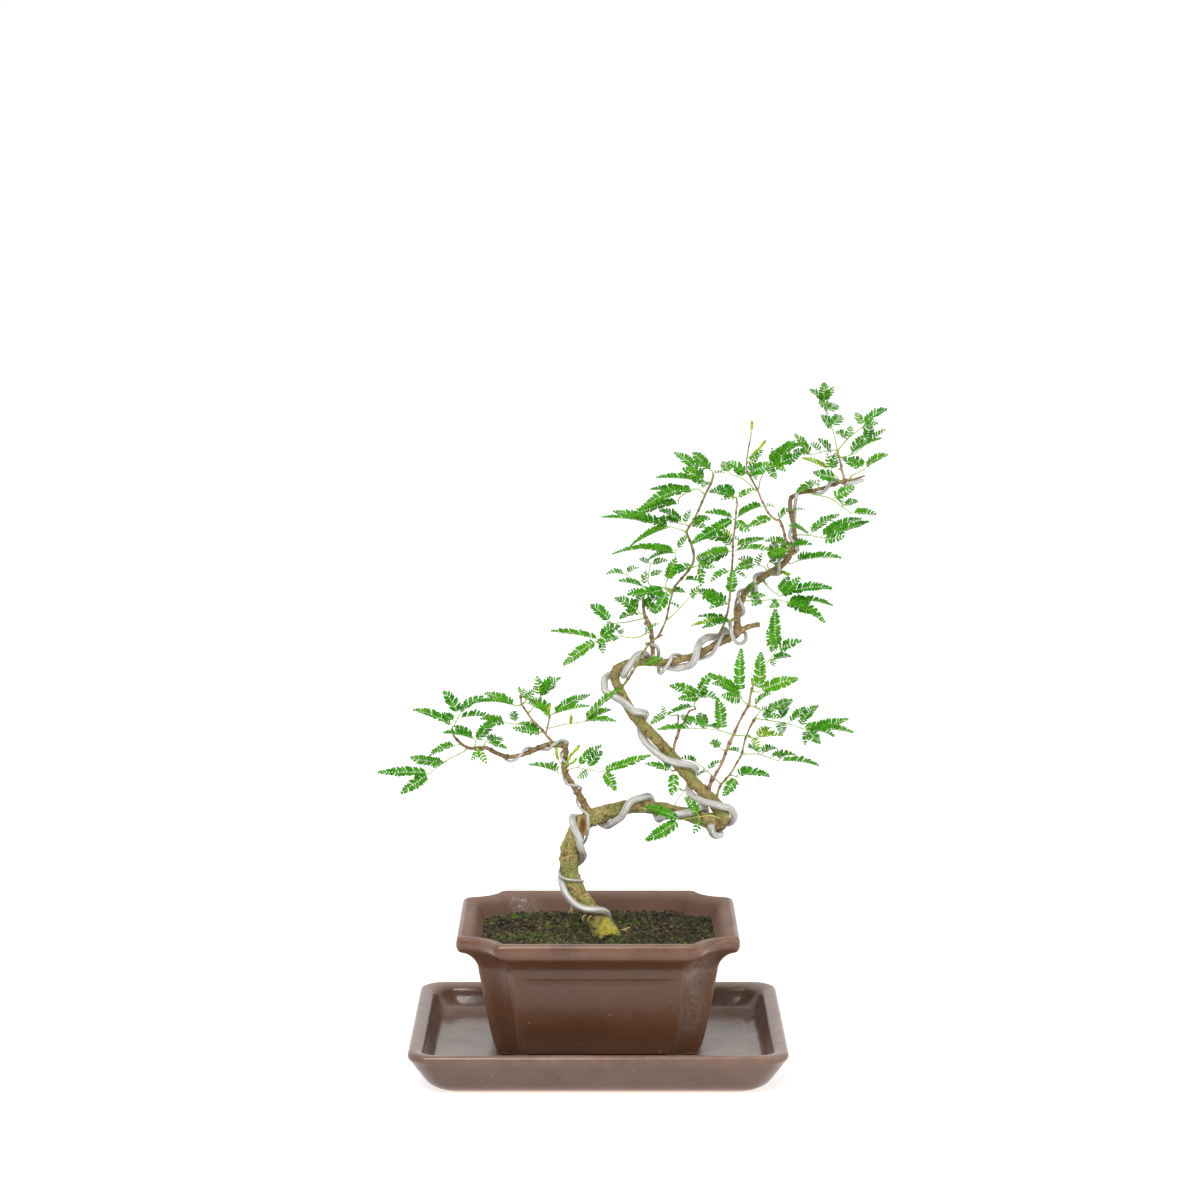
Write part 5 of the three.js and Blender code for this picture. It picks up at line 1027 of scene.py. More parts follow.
def crease(shape, inset, point):
    """A point of the outer wall, pressed in along a shallow tooled line across the front and the back."""
    x, y, z = point
    if abs(abs(y) - (shape["half_y"] - inset)) > 0.1:
        return point
    off = z - CREASE["z"]
    depth = (CREASE["depth"] * math.exp(-(off / CREASE["width"]) ** 2)
             - CREASE["swell"] * math.exp(-((off + CREASE["below"]) / CREASE["swell_width"]) ** 2))
    fade = min(max((CREASE["reach"] - abs(x)) / CREASE["fade"], 0), 1)
    return (x, y - math.copysign(depth * fade, y), z)


def sharpen(piece, degrees=38):
    piece.data.set_sharp_from_angle(angle=math.radians(degrees))


def cut(piece, cutters):
    """Takes the cutters out of a piece."""
    for cutter in cutters:
        modifier = piece.modifiers.new("cut", "BOOLEAN")
        modifier.operation = "DIFFERENCE"
        modifier.solver = "EXACT"
        modifier.object = cutter
    keep_shape(piece)
    for cutter in cutters:
        bpy.data.objects.remove(cutter)


def prism(corners, bottom, top):
    """A body that only cuts, as its outline seen from above."""
    points = [(x, y, z) for z in (bottom, top) for x, y in corners]
    return made("cutter", points, ring_faces(2, len(corners)), [])


def box(half_x, half_y, bottom, top):
    return prism([(-half_x, -half_y), (half_x, -half_y), (half_x, half_y), (-half_x, half_y)], bottom, top)


def rod(x, bottom, top, radius, sides=40):
    angles = [math.tau * side / sides for side in range(sides)]
    return prism([(x + radius * math.cos(a), radius * math.sin(a)) for a in angles], bottom, top)


def soil_outline(z):
    """The soil's edge at a height, a little inside the pot's inner wall."""
    insets, heights, _ = zip(*reversed(POT_INSIDE))
    return outline(POT, float(np.interp(z, heights, insets)) + SOIL_GAP, z)


# Wood and wires

# Noise that lifts the bark as (frequency, offset, share); a wart is what rises over a level in another noise
BARK_NOISE = ((0.2, 0, 1), (0.6, 0, 0.7), (1.5, 9, 0.45))
WART_FREQUENCY, WART_OFFSET, WART_LEVEL, WART_HEIGHT = 0.42, 40, 0.24, 3
# Joints: how far they stray, how they turn from one to the next, and their width, height and lean
JOINT_STRAY, JOINT_TURN, JOINT_WIDTH, JOINT_HEIGHT, JOINT_LEAN = 0.22, 2.4, 0.75, 0.3, 0.16
# From this radius on, a limb has no joints and its relief no longer grows
THICK = 3
FULL_ROUGHNESS = 0.17
COLLAR = 0.35
# A wire stands off the bark by the clearance and by the height of the bark's relief
BARK_RELIEF = 0.15
WIRE_PART_DEGREES = 30


def bark_noise(spot, frequency, offset):
    return noise.noise(Vector(spot * frequency + offset))


def limb_mesh(name, keys, sides, step, material, ages, rough=0.07, blend_start=0.0, joints=0.0):
    """A limb with swellings, warts and old leaf scars, and with a joint every so many millimetres.

    Ages are (key, age)."""
    line = limb_line(keys)
    points = []
    values = {"age": [], "round": [], "along": [], "knot": [], "coarse": []}
    travelled, before = 0.0, line.at(0)
    indices = line.steps(step)
    for index in indices:
        place = line.at(index)
        travelled += float(np.linalg.norm(place - before))
        before = place
        front, right = line.across(index)
        radius = line.radius(index)
        collar = 1 + COLLAR * max(0.0, 1 - travelled / blend_start) if blend_start else 1
        lump = 0.0
        if joints:
            number = round(travelled / joints)
            middle = joints * (number + JOINT_STRAY * math.sin(number * JOINT_TURN))
            lump = math.exp(-((travelled - middle) / JOINT_WIDTH) ** 2) if number else 0.0
            lump *= min(1.0, max(0.0, (THICK - radius) / 1.6))
        for side in range(sides):
            angle = math.tau * side / sides
            out_of_line = front * math.cos(angle) + right * math.sin(angle)
            spot = place + out_of_line * radius
            swell = sum(height * bark_noise(spot, *where) for *where, height in BARK_NOISE)
            wart = WART_HEIGHT * max(0.0, bark_noise(spot, WART_FREQUENCY, WART_OFFSET) - WART_LEVEL)
            uneven = lump * (JOINT_HEIGHT + JOINT_LEAN * math.cos(angle - number * JOINT_TURN)) if lump else 0.0
            reach = radius * (collar + uneven) + min(radius, THICK) * rough * (swell + wart)
            points.append(place + out_of_line * reach)
            values["round"].append((math.cos(angle), math.sin(angle), 0.0))
            values["along"].append(travelled * MM)
            values["age"].append(float(np.interp(index, *zip(*ages))))
            values["coarse"].append(min(1.0, rough / FULL_ROUGHNESS))
            values["knot"].append(min(1.0, 0.9 * lump + wart))
    piece = made(name, points, ring_faces(len(indices), sides), [material], **values)
    sharpen(piece, 60)
    return piece


def wound(keys, wire_radius, turns):
    """Places along a wire wound on a limb; a turn is (index along the limb, degrees from the front, slack)."""
    line = limb_line(keys)
    turns = [(*turn, 0)[:3] for turn in turns]
    points = []
    for turn, after in zip(turns, [*turns[1:], turns[-1]]):
        parts = max(1, math.ceil(abs(after[1] - turn[1]) / WIRE_PART_DEGREES))
        for part in range(parts):
            index, angle, slack = [a + (b - a) * (part / parts) for a, b in zip(turn, after)]
            front, right = line.across(index)
            away = front * math.cos(math.radians(angle)) + right * math.sin(math.radians(angle))
            reach = line.radius(index) + wire_radius + CLEARANCE + BARK_RELIEF + slack
            points.append(line.at(index) + away * reach)
    return points


def lines_mesh(name, lines):
    """Polylines as one mesh. Each line is (places, {attribute: values})."""
    points, edges, attributes = [], [], {}
    for places, values in lines:
        start = len(points)
        points += list(places)
        edges += [(start + i, start + i + 1) for i in range(len(places) - 1)]
        for label, numbers in values.items():
            attributes.setdefault(label, []).extend(numbers)
    return made(name, points, [], [], edges=edges, **attributes)


def evenly(places, **values):
    """A line for lines_mesh with the same values at all its places."""
    return places, {name: [value] * len(places) for name, value in values.items()}


def walked(line, step):
    return [line.at(index) for index in line.steps(step)]


def cord_line(points, radius):
    """A wire's line with its thickness; its ends are clipped and a little pinched."""
    places = walked(Line(points), 0.8)
    lengths = np.concatenate(([0], np.cumsum([np.linalg.norm(b - a) for a, b in zip(places, places[1:])])))
    radii = [radius * (0.8 if i in (0, len(places) - 1) else 1) * MM for i in range(len(places))]
    return places, {"thick": radii, "along": list(lengths * MM)}


# Leaves

def path_length(points):
    return sum(float(np.linalg.norm(b - a)) for a, b in zip(points, points[1:]))


def along_path(points, share):
    left = share * path_length(points)
    for first, second in zip(points, points[1:]):
        length = float(np.linalg.norm(second - first))
        if left <= length:
            return first + (second - first) * (left / max(length, 1e-6))
        left -= length
    return points[-1]


def root_on(limbs, point):
    """The place on a limb's centre line nearest to a point."""
    places = []
    for keys in limbs:
        ends = drawn(keys)
        for a, b in zip(ends, ends[1:]):
            share = min(max(float(np.dot(point - a, b - a) / np.dot(b - a, b - a)), 0), 1)
            places.append(a + (b - a) * share)
    return min(places, key=lambda place: np.linalg.norm(place - point))


# A side stalk's line and its row of leaflets have this many parts
SIDE_STALK_PARTS = 12
# The swollen foot of a stalk, in millimetres
FOOT_LENGTH = 2.6
# Side stalks that start closer than this are moved down the stalk by STALK_SHIFT, beyond a pair of them
STALK_GAP, STALK_SHIFT = 1.2, 1.4
# Chance: how far a side stalk bows, and how yellow, how large and how lifted its leaflets are
SWAY, YELLOW, SIZES, LIFTS = (-0.07, 0.07), (0, 0.22), (0.92, 1.06), (-0.12, 0.12)


def leaf_lines(limbs, leaf, chance):
    """The stalks of one leaf and the lines its leaflets sit on."""
    stalk, sides = leaf
    points = drawn(stalk)
    path = [root_on(limbs, points[0]), *points]
    lead = float(np.linalg.norm(path[1] - path[0]))
    whole = max(path_length(path), 0.01)
    places = walked(Line(path), 1.2)
    shares = np.linspace(0, 1, len(places))
    foot = [max(0.0, 1 - share * whole / FOOT_LENGTH) for share in shares]
    radii = [(0.36 - 0.12 * share + 0.4 * low) * MM for share, low in zip(shares, foot)]
    stalks = [(places, {"thick": radii, "foot": foot, "young": [0.15] * len(places)})]
    rows, taken = [], []
    for share, x, y, z, tilt in sides:
        along = lead + share * (whole - lead)
        while len([other for other in taken if abs(other - along) < STALK_GAP]) > 1:
            along -= STALK_SHIFT
        taken.append(along)
        start, tip = along_path(path, max(along, 0) / whole), seen((x, y, z))
        ahead = unit(tip - start)
        length = float(np.linalg.norm(tip - start))
        angle = math.radians(tilt)
        up = np.array((0, -math.sin(angle), math.cos(angle)))
        up = unit(up - ahead * np.dot(up, ahead))
        side = np.cross(ahead, up)
        sway = chance.uniform(*SWAY) * length
        young = 1.0 if any(abs(x - a) < 0.6 and abs(z - b) < 0.6 for a, b in YOUNG_TIPS) else chance.uniform(*YELLOW)
        count = SIDE_STALK_PARTS
        line, sizes, radii = [], [], []
        for step in range(count + 1):
            s = step / count
            line.append(start + ahead * length * s + up * 0.2 * length * s * (1 - s)
                        + side * sway * s * (1 - s) * 4)
            sizes.append(1 - 0.32 * max(0.0, 1 - s / 0.3) - 0.58 * max(0.0, (s - 0.5) / 0.5) ** 1.6)
            radii.append((0.22 - 0.1 * s) * MM)
        stalk_line, even = evenly(line, foot=0.0, young=0.1 + 0.6 * young)
        stalks.append((stalk_line, {**even, "thick": radii}))
        # The foot of a side stalk is bare, a short one has small leaflets, and those of a steep one are less lifted
        bare = min(FOOT_LENGTH, 0.22 * length) / length
        small = min(1.0, 0.34 * length / 4.4) * chance.uniform(*SIZES)
        lift = math.radians(47 - 0.44 * tilt) + chance.uniform(*LIFTS)
        row = Line(line)
        ends = np.linspace(bare * count, count, count + 1)
        places, even = evenly([row.at(i) for i in ends], up=tuple(up), lift=lift, young=young)
        rows.append((places, {
            **even, "size": [small * float(np.interp(i, range(count + 1), sizes)) for i in ends],
            "open": [1.0 - 0.5 * (max(0.0, i / count - 0.6) / 0.4) ** 1.5 for i in ends]}))
    return stalks, rows


def leaflet_shape(material):
    """One leaflet of unit length and width, folded a little along its middle and closed all round."""
    stations = [(0.02, 0.16), (0.14, 0.42), (0.5, 0.5), (0.84, 0.45), (0.97, 0.22)]
    points, faces = [(0.0, 0.0, 0.0)], []
    for x, half in stations:
        droop = -0.035 * x * x
        points += [(x, half, droop + 0.03), (x, 0, droop), (x, -half, droop + 0.03), (x, 0, droop - 0.022)]
    tip = len(points)
    points.append((1.02, 0.0, -0.035))
    for a in range(1, tip - 4, 4):
        b = a + 4
        faces += [(a + 1, b + 1, b, a), (a + 2, b + 2, b + 1, a + 1)]
        faces += [(a, b, b + 3, a + 3), (a + 3, b + 3, b + 2, a + 2)]
    first, end = 1, tip - 4
    faces += [(0, first + 1, first), (0, first + 2, first + 1), (0, first, first + 3), (0, first + 3, first + 2)]
    faces += [(tip, end, end + 1), (tip, end + 1, end + 2), (tip, end + 3, end), (tip, end + 2, end + 3)]
    piece = made("leaflet", np.array(points) / MM, faces, [material])
    layer = piece.data.attributes.new("under", "FLOAT", "CORNER")
    values = []
    for face in piece.data.polygons:
        under = any(v % 4 == 0 and v not in (0, tip) for v in face.vertices)
        values += [1.0 if under else 0.0] * face.loop_total
    layer.data.foreach_set("value", values)
    return piece


# Settings

def colour(name, code, description):
    return bpy.props.FloatVectorProperty(name=name, description=description, default=linear(code)[:3], size=3,
                                         min=0, max=1, subtype="COLOR")


def length(name, value, description):
    return bpy.props.FloatProperty(name=name, description=description, default=value * MM, min=0,
                                   unit="LENGTH", subtype="DISTANCE", precision=5)


def number(name, value, description, low=0.0, high=1000.0):
    return bpy.props.FloatProperty(name=name, description=description, default=value, min=low, max=high)


class CeramicSettings(bpy.types.PropertyGroup):
    body: colour("Body", "#5b3a25", "Glazed clay of the pot and saucer")
    dark: colour("Dark", "#4e3120", "Clay where the glaze lies thicker")
    pale: colour("Pale", "#7c6150", "Fine grit in the glaze")
    edge: colour("Edge", "#8a6550", "Lips, where the glaze runs thin")
    raw: colour("Raw", "#d3ab80", "Bare clay under the feet")
    scuff: colour("Scuff", "#d9d2cc", "White scuffs and specks")
    # The film colour is also painted on what faces up, as a painted sheen
    film: colour("Film", "#94877f", "Dried lime and dust")
    gloss_roughness: number("Roughness", 0.2, "Roughness of the smoothest glaze", 0, 1)


class BarkSettings(bpy.types.PropertyGroup):
    olive: colour("Olive", "#89803f", "Young bark")
    tan: colour("Tan", "#aa965a", "Young bark in the sun")
    green: colour("Green", "#7a8a45", "Green under the young bark")
    brown: colour("Brown", "#74563c", "Old bark")
    grey: colour("Grey", "#96805f", "Weathered bark")
    dark: colour("Dark", "#46331f", "Fissures")
    pore: colour("Pores", "#5c3d26", "Corky pores and scars")
    pale: colour("Pale", "#cdb987", "Cork flecks and rims")
    wound: colour("Cut wood", "#94602f", "Dead wood at the pruned side")
    moss: colour("Moss", "#8c8f3a", "Moss at the foot")
    lichen: colour("Lichen", "#b5a428", "Yellow lichen at the foot")
    twig: colour("Twig", "#8d6a50", "Skin of the thin twigs")
    twig_pale: colour("Pale twig", "#b79d80", "Skin of the thin twigs in the light")
    root: colour("Root", "#bfa775", "Skin of the surface roots")
    root_dark: colour("Root shade", "#8c7748", "Shaded side of the surface roots")


class WireSettings(bpy.types.PropertyGroup):
    metal: colour("Metal", "#e2e1dd", "Bright drawn aluminium")
    dark: colour("Lines", "#8f8c85", "Drawing lines")
    oxide: colour("Oxide", "#bdbab2", "Weathered skin")
    metallic: number("Metallic", 0.55, "Share of bare metal", 0, 1)
    trunk: length("Trunk wire radius", 2.0, "Radius of the two thick wires")
    upper: length("Upper wire radius", 1.0, "Radius of the wire on the leader")
    branch: length("Branch wire radius", 0.75, "Radius of the wire on the left branch")


class LeafSettings(bpy.types.PropertyGroup):
    length: length("Leaflet length", 3.9, "Length of a full-grown leaflet")
    width: length("Leaflet width", 1.5, "Width of a full-grown leaflet")
    spacing: length("Leaflet spacing", 1.46, "Distance from pair to pair")
    spread: bpy.props.FloatProperty(name="Spread", description="Angle of a leaflet from its side stalk",
                                    default=math.radians(58), min=0, max=2, subtype="ANGLE")
    deep: colour("Deep", "#21720a", "Older leaflets")
    fresh: colour("Fresh", "#3f9c0d", "Full-grown leaflets")
    bright: colour("Bright", "#68b816", "Leaflets in the light")
    under: colour("Underside", "#43932c", "Underside")
    under_pale: colour("Pale underside", "#6cb04e", "Pale underside")
    young: colour("Young", "#a2c01a", "Young yellow leaflets")
    stalk: colour("Stalk", "#7d9a3c", "Stalks")
    stalk_pale: colour("Pale stalk", "#a8bb72", "Stalks in the light")
    stalk_foot: colour("Stalk foot", "#8a7a3c", "Swollen foot of a stalk")


class SoilSettings(bpy.types.PropertyGroup):
    smallest: length("Smallest grain", 0.35, "Radius of the smallest grains")
    largest: length("Largest grain", 1.7, "Radius of the largest grains")
    gap: length("Grain gap", 1.15, "Least distance from grain to grain")
    dark: colour("Dark", "#1f1a12", "Wet clay grains")
    brown: colour("Brown", "#736645", "Drier clay grains")
    grit: colour("Grit", "#938766", "Pale grit")
    algae: colour("Algae", "#515c26", "Film of algae")
    moss: colour("Moss", "#76893a", "Moss grains")
    mesh: colour("Drain mesh", "#23282a", "Moulded drain mesh")
    mesh_worn: colour("Drain mesh worn", "#3c4346", "Dusty drain mesh")


class StageSettings(bpy.types.PropertyGroup):
    floor: colour("Floor", "#c9c9c8", "White acrylic of the table")
    table: number("Table light", 0.62, "Strength of the light under the table", 0, 2)
    key: number("Key light", 24.0, "Power of the large soft light in watts")
    fill: number("Fill light", 9.0, "Power of the light from the right in watts")
    sky: number("Surround", 1.0, "Strength of the even light all round")
    room: number("Room", 0.2, "Share of that light that comes from the room in front", 0, 1)
    lens: number("Lens", 95.7, "Focal length in millimetres", 10, 300)


class BonsaiSettings(bpy.types.PropertyGroup):
    ceramic: bpy.props.PointerProperty(type=CeramicSettings)
    bark: bpy.props.PointerProperty(type=BarkSettings)
    wire: bpy.props.PointerProperty(type=WireSettings)
    leaf: bpy.props.PointerProperty(type=LeafSettings)
    soil: bpy.props.PointerProperty(type=SoilSettings)
    stage: bpy.props.PointerProperty(type=StageSettings)


MADE = {}


def kept(label, make, *given):
    """The material or tree of that label, made once."""
    if label not in MADE:
        MADE[label] = make(*given)
    return MADE[label]


def bark_of(context):
    return kept("bark", finish_bark, context.scene.bonsai.bark)


def tubes(name, lines, sides, material):
    """A piece of round cords along lines."""
    return grow(lines_mesh(name, lines), kept("tube", tube_tree), Sides=sides, Material=material)


def fronds(context, name, stalks, rows, sides, spacing, *nodes, **inputs):
    """A piece of stalks, and of leaflets in rows."""
    settings = context.scene.bonsai.leaf
    leaf = kept("leaf", finish_leaflet, settings)
    shape = leaflet_shape(leaf)
    lower = tubes(name, stalks, sides, kept("stalk", finish_stalk, settings))
    upper = grow(lines_mesh(name + "_rows", rows), kept("pairs", leaflet_tree), Leaflet=shape, Spacing=spacing,
                 Length=settings.length, Width=settings.width, Material=leaf, **inputs)
    bpy.data.meshes.remove(shape.data)
    place_piece(joined(name, [lower, upper]), "foliage", *nodes)


# Operators

class BONSAI_OT_saucer(bpy.types.Operator):
    """Make the saucer"""
    bl_idname = "bonsai.saucer"
    bl_label = "Saucer"

    def execute(self, context):
        clay = finish_ceramic(context.scene.bonsai.ceramic, "water_stained_stoneware", 0.15, 0.12)
        piece = shell("saucer_tray", SAUCER, SAUCER_PROFILE, clay, 0.8)
        sharpen(piece, 50)
        place_piece(piece, "ceramic", "saucer")
        return {"FINISHED"}


class BONSAI_OT_pot(bpy.types.Operator):
    """Make the pot, with the channels between its feet and its two drain holes"""
    bl_idname = "bonsai.pot"
    bl_label = "Pot"

    def execute(self, context):
        clay = finish_ceramic(context.scene.bonsai.ceramic)
        piece = shell("pot_body", POT, POT_OUTSIDE + POT_INSIDE, clay, 0.55, POT_HORN + POT_INSIDE)
        # Two channels that cross under the floor and run out past the walls leave the four feet
        cut(piece, [box(90, CHANNEL_Y, POT_FOOT - 4, POT_UNDERSIDE), box(CHANNEL_X, 80, POT_FOOT - 4, POT_UNDERSIDE),
                    *[rod(x, POT_FOOT - 3, POT_FLOOR + 4, DRAIN_RADIUS) for x in (-DRAIN_X, DRAIN_X)]])
        sharpen(piece)
        place_piece(piece, "ceramic", "pot")
        return {"FINISHED"}


class BONSAI_OT_drain_meshes(bpy.types.Operator):
    """Make the moulded screens over the drain holes"""
    bl_idname = "bonsai.drain_meshes"
    bl_label = "Drain meshes"

    def execute(self, context):
        soil = context.scene.bonsai.soil
        plastic = finish_plain("moulded_polythene", soil.mesh, 0.6, soil.mesh_worn)
        # Radii of the bars at the rim and within it
        rim, bar = 0.55, 0.32
        half = DRAIN_MESH / 2 - rim
        z = POT_FLOOR + CLEARANCE + DRAIN_THICKNESS / 2
        for label, x in (("left", -DRAIN_X), ("right", DRAIN_X)):
            lines = []
            for off in np.linspace(-half, half, 11):
                thick = (rim if abs(off) == half else bar) * MM
                lines += [evenly([(x + off, -half, z - 0.1), (x + off, half, z - 0.1)], thick=thick),
                          evenly([(x - half, off, z + 0.1), (x + half, off, z + 0.1)], thick=thick)]
            place_piece(tubes("drain_screen_" + label, lines, 8, plastic), "mesh_plastic", "drain_mesh_" + label)
        return {"FINISHED"}


class BONSAI_OT_soil(bpy.types.Operator):
    """Make the soil: its body, and the loose grains on top"""
    bl_idname = "bonsai.soil"
    bl_label = "Soil"

    def execute(self, context):
        settings = context.scene.bonsai.soil
        earth = finish_soil(settings)
        rim = soil_outline(SOIL_EDGE)
        counts = [max(1, round(math.dist(a, b) / SOIL_MESH)) for a, b in zip(rim, rim[1:] + rim[:1])]

        def dense(ring):
            """The ring with each of its sides in as many parts as the rim's."""
            return [a + (b - a) * part / count for a, b, count in zip(np.array(ring), np.roll(ring, -1, 0), counts)
                    for part in range(count)]

        bed = POT_FLOOR + CLEARANCE + DRAIN_THICKNESS + 0.3
        rings = [dense(soil_outline(z)) for z in (bed, 40, 60, 66, 69)]
        top = []
        # Rings from the edge to the middle, which rise to the crown and are uneven
        for share in np.linspace(1, 0.03, 36):
            ring = []
            for x, y, z in dense(rim):
                x, y = x * share, y * share
                crown = (SOIL_CROWN - SOIL_EDGE) * min(1, (1 - share) * 3.2)
                rough = 1.6 * noise.noise(Vector((x * 0.09, y * 0.09, 3))) + 2.4 * noise.noise(
                    Vector((x * 0.3, y * 0.3, 9)))
                ring.append((x, y, SOIL_EDGE + crown + rough * min(1, (1 - share) * 12)))
            top.append(ring)
        sides = len(top[0])
        points = [point for ring in rings + top for point in ring]
        body = made("soil_body", points, ring_faces(len(rings + top), sides), [earth], tint=[0.15] * len(points))
        points = [point for ring in top for point in ring]
        grains = made("soil_grains", points, ring_faces(len(top), sides, False), [earth])
        grow(grains, grain_tree(), Gap=settings.gap, Smallest=settings.smallest, Largest=settings.largest,
             Material=earth)
        grains.data.polygons.foreach_set("use_smooth", [False] * len(grains.data.polygons))
        place_piece(body, "soil", "soil")
        place_piece(grains, "soil")
        return {"FINISHED"}


class BONSAI_OT_trunk(bpy.types.Operator):
    """Make the grown wood: root base, trunk, leader, left branch and stubs"""
    bl_idname = "bonsai.trunk"
    bl_label = "Trunk"

    def execute(self, context):
        bark = bark_of(context)
        lower = [*ROOT, *MAIN[3:LEADER_KEY + 1], *ELBOW_KNOB]
        # The root base has one key more than the part of the trunk that it stands for
        ages = [(key + 1, age) for key, age in TRUNK_AGE if key <= LEADER_KEY]
        upper_ages = [(key - LEADER_KEY, age) for key, age in TRUNK_AGE if key >= LEADER_KEY]
        pieces = [
            limb_mesh("trunk_wood", lower, 40, 0.6, bark, ages, 0.17),
            limb_mesh("leader", MAIN[LEADER_KEY:], 28, 0.6, bark, upper_ages, 0.09, joints=10.5),
            limb_mesh("left_branch", LEFT_BRANCH, 18, 0.6, bark, [(0, 0.5), (4, 0.75), (22, 1)], 0.13, 4, 9.5),
            *[limb_mesh("stub", stub, 16, 0.6, bark, [(0, 0.6), (3, 0.9)], 0.2) for stub in STUBS[1:]],
            limb_mesh("stub", STUBS[0], 28, 0.6, bark, [(0, 0.25), (3, 0.3)], 0.15),
        ]
        place_piece(joined("trunk_wood", pieces), "bark", "trunk")
        return {"FINISHED"}


class BONSAI_OT_wires(bpy.types.Operator):
    """Make the four training wires"""
    bl_idname = "bonsai.wires"
    bl_label = "Training wires"

    def execute(self, context):
        settings = context.scene.bonsai.wire
        metal = finish_wire(settings)
        # Each run is places in the open, or the turns round a limb
        for node, radius, sides, *runs in (
                ("trunk_wire_lower", settings.trunk, 20, WIRE_FOOT, (MAIN, LOWER_WIRE_TURNS), OVER_STUB,
                 (MAIN, RUN_WIRE_TURNS)),
                ("trunk_wire_upper", settings.trunk, 20, (MAIN, UPPER_WIRE_TURNS), UPPER_WIRE_END),
                ("upper_thin_wire", settings.upper, 14, HOOK, (MAIN, THIN_WIRE_TURNS), FORK_LOOP,
                 (MAIN, LEADER_WIRE_TURNS)),
                ("branch_wire", settings.branch, 12, (MAIN, BRANCH_WIRE_ON_TRUNK), BRANCH_WIRE_CROSSING,
                 (LEFT_BRANCH, BRANCH_WIRE_TURNS))):
            points = []
            for run in runs:
                points += wound(run[0], radius / MM, run[1]) if isinstance(run, tuple) else drawn(run)
            piece = tubes("drawn_" + node, [cord_line(points, radius / MM)], sides, metal)
            sharpen(piece, 50)
            place_piece(piece, "training_wire", node)
        return {"FINISHED"}


class BONSAI_OT_leaves(bpy.types.Operator):
    """Make the leafy twigs and the leaves that grow from the wood"""
    bl_idname = "bonsai.leaves"
    bl_label = "Leaves and twigs"

    def execute(self, context):
        settings = context.scene.bonsai.leaf
        chance = random.Random(SEED)
        for node, (limbs, leaves) in GROWTH.items():
            age = 0.3 if node in GREEN_TWIGS else 1.5
            wood = [limb_mesh("stem", [(*key[:3], *[0.86 * r for r in key[3:]]) for key in limb], 12, 0.5,
                              bark_of(context), [(0, age), (len(limb), age)], 0.12, 0 if spur else 1.5, 8.0)
                    for spur, limb in enumerate(limbs)]
            if wood:
                place_piece(joined(node + "_stem", wood), "bark")
            stalks, rows = [], []
            for leaf in leaves:
                new_stalks, new_rows = leaf_lines(limbs or [MAIN, LEFT_BRANCH], leaf, chance)
                stalks += new_stalks
                rows += new_rows
            fronds(context, node + "_fronds", stalks, rows, 6, settings.spacing, node, Spread=settings.spread,
                   Seed=SEED + len(rows))
        return {"FINISHED"}


class BONSAI_OT_shoots(bpy.types.Operator):
    """Make the young shoots and buds, the surface roots, and the sprouts on the soil"""
    bl_idname = "bonsai.shoots"
    bl_label = "Shoots, roots and sprouts"

    def execute(self, context):
        bark = context.scene.bonsai.bark
        stalks, rows = [], []
        # A shoot is a thin stem that swells to its bud near the end and is pointed
        for keys, bud in SHOOTS:
            line = Line(drawn(keys))
            places, values = evenly(walked(line, 0.5), foot=0.0, young=1.0)
            shares = [step / (len(places) - 1) for step in range(len(places))]
            values["thick"] = [(0.28 + (bud - 0.28) * math.exp(-((share - 0.86) / 0.12) ** 2) if share < 0.97 else
                                0.15) * MM for share in shares]
            stalks.append((places, values))
            ends = np.linspace(0.35 * line.last, line.last, 6)
            rows.append(evenly([line.at(i) for i in ends], up=(0, -0.7, 0.7), size=0.42, lift=0.6, young=1.0, open=0.6))
        # One young leaf by itself on the leader
        path = drawn(LONE_LEAF)
        stalks.append(evenly(path, thick=0.25 * MM, foot=0.0, young=1.0))
        rows.append(evenly(path, up=(0, -0.7, 0.7), size=0.5, lift=0.4, young=1.0, open=0.8))
        fronds(context, "young_shoots", stalks, rows, 8, 0.9 * MM, Spread=0.8)

        roots = []
        for keys in ROOTLETS:
            places = walked(Line(drawn(keys)), 0.8)
            roots.append((places, {"thick": list(np.linspace(0.62, 0.25, len(places)) * MM)}))
        skin = finish_plain("surface_root_skin", bark.root, 0.8, bark.root_dark)
        place_piece(tubes("surface_roots", roots, 10, skin), "bark")

        stems, rows = [], []
        for x, y, height in SPROUTS:
            base = np.array((x, y, SOIL_CROWN - 0.6))
            for lean in (-0.5, 0.1, 0.6):
                tip = base + np.array((lean * height * 0.8, -0.3 * height, height * (1 - 0.3 * abs(lean))))
                places = [base + (tip - base) * share for share in np.linspace(0, 1, 5)]
                stems.append(evenly(places, thick=0.14 * MM, foot=0.0, young=0.6))
                rows.append(evenly(places[1:], up=(0, -0.8, 0.6), size=0.13 * height, lift=0.2, young=0.7, open=1.0))
        fronds(context, "soil_sprouts", stems, rows, 6, 0.9 * MM, Spread=1.0)
        return {"FINISHED"}


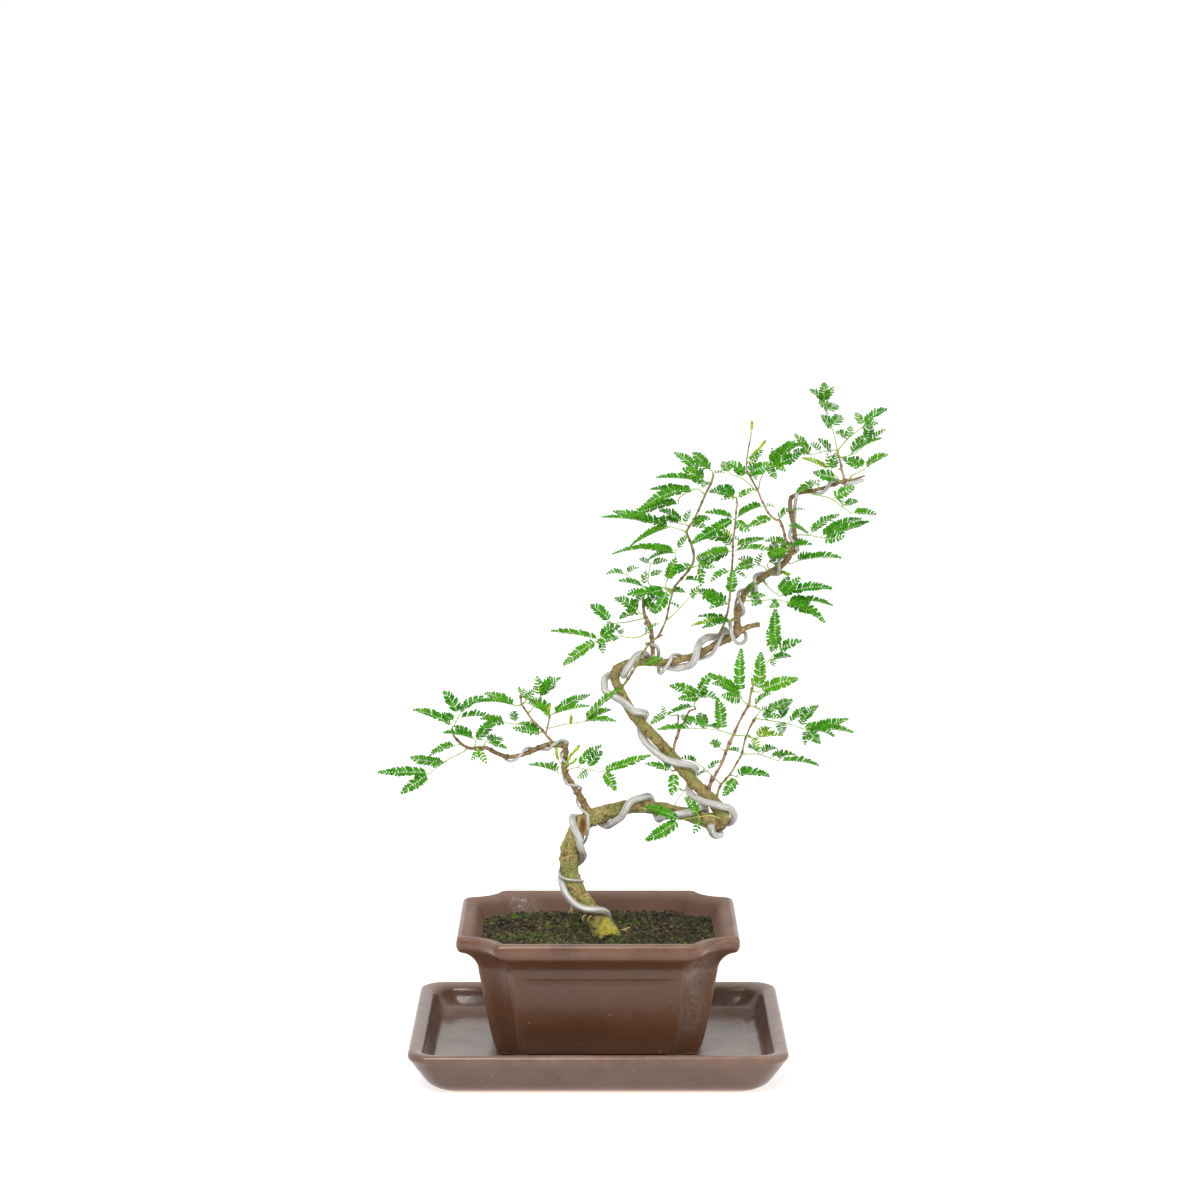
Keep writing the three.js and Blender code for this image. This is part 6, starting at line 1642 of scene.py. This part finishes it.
class BONSAI_OT_stage(bpy.types.Operator):
    """Make the lit table, the lights and the camera"""
    bl_idname = "bonsai.stage"
    bl_label = "Stage"

    def execute(self, context):
        scene = context.scene
        settings = scene.bonsai.stage
        # White acrylic, lit a little from below
        table_top, _, surface, _ = shader("backlit_white_acrylic")
        dress(surface, (*settings.floor, 1.0), 0.9, 0.1)
        surface.inputs["Emission Color"].default_value = (1, 1, 1, 1)
        surface.inputs["Emission Strength"].default_value = settings.table
        corners = [(x, y, -0.05) for x, y in ((-6000, -6000), (6000, -6000), (6000, 6000), (-6000, 6000))]
        made("lit_table", corners, [(0, 1, 2, 3)], [table_top])
        for name, power, size, spot in (("key_light", settings.key, 1.0, (-0.4, -1.4, 1.5)),
                                        ("fill_light", settings.fill, 1.4, (1.5, -1.0, 0.9))):
            light = bpy.data.lights.new(name, "AREA")
            light.energy = power
            light.shape = "DISK"
            light.size = size
            lamp = bpy.data.objects.new(name, light)
            lamp.location = spot
            lamp.rotation_euler = (Vector((0, 0, 0.2)) - Vector(spot)).to_track_quat("-Z", "Y").to_euler()
            scene.collection.objects.link(lamp)
        scene.world = bpy.data.worlds.new("surround")
        scene.world.use_nodes = True
        sky = scene.world.node_tree
        toward = split(add(sky, "ShaderNodeTexCoord").outputs["Generated"])
        room = times(between(toward[1], -0.2, -0.8), between(toward[2], 0.75, 0.3))
        light = blend(room, (1, 1, 1), [settings.room] * 3)
        light = blend(add(sky, "ShaderNodeLightPath").outputs["Is Camera Ray"], light, (1, 1, 1))
        feed(sky.nodes["Background"].inputs["Color"], light)
        sky.nodes["Background"].inputs["Strength"].default_value = settings.sky
        scene.view_settings.view_transform = "Standard"
        camera = bpy.data.cameras.new("camera")
        camera.lens = settings.lens
        camera.sensor_width = 36
        camera.clip_end = 20
        viewer = bpy.data.objects.new("camera", camera)
        viewer.location = EYE
        viewer.rotation_euler = (math.radians(90 - EYE_DOWN_DEGREES), 0, 0)
        scene.collection.objects.link(viewer)
        scene.camera = viewer
        return {"FINISHED"}


OPERATORS = (BONSAI_OT_stage, BONSAI_OT_saucer, BONSAI_OT_pot, BONSAI_OT_drain_meshes, BONSAI_OT_soil,
             BONSAI_OT_trunk, BONSAI_OT_wires, BONSAI_OT_leaves, BONSAI_OT_shoots)


class BONSAI_PT_panel(bpy.types.Panel):
    """The bonsai's settings and its pieces"""
    bl_idname = "BONSAI_PT_panel"
    bl_label = "Bonsai"
    bl_space_type = "VIEW_3D"
    bl_region_type = "UI"
    bl_category = "Bonsai"

    def draw(self, context):
        for operator in OPERATORS:
            self.layout.operator(operator.bl_idname)
        for group in BonsaiSettings.__annotations__:
            settings = getattr(context.scene.bonsai, group)
            box = self.layout.box()
            box.label(text=group.capitalize())
            for name in settings.__annotations__:
                box.prop(settings, name)


CLASSES = (CeramicSettings, BarkSettings, WireSettings, LeafSettings, SoilSettings, StageSettings, BonsaiSettings,
           *OPERATORS, BONSAI_PT_panel)


def register():
    for one in CLASSES:
        bpy.utils.register_class(one)
    bpy.types.Scene.bonsai = bpy.props.PointerProperty(type=BonsaiSettings)


def unregister():
    del bpy.types.Scene.bonsai
    for one in reversed(CLASSES):
        bpy.utils.unregister_class(one)


def main():
    register()
    for operator in OPERATORS:
        group, name = operator.bl_idname.split(".")
        getattr(getattr(bpy.ops, group), name)()


if __name__ == "__main__":
    main()
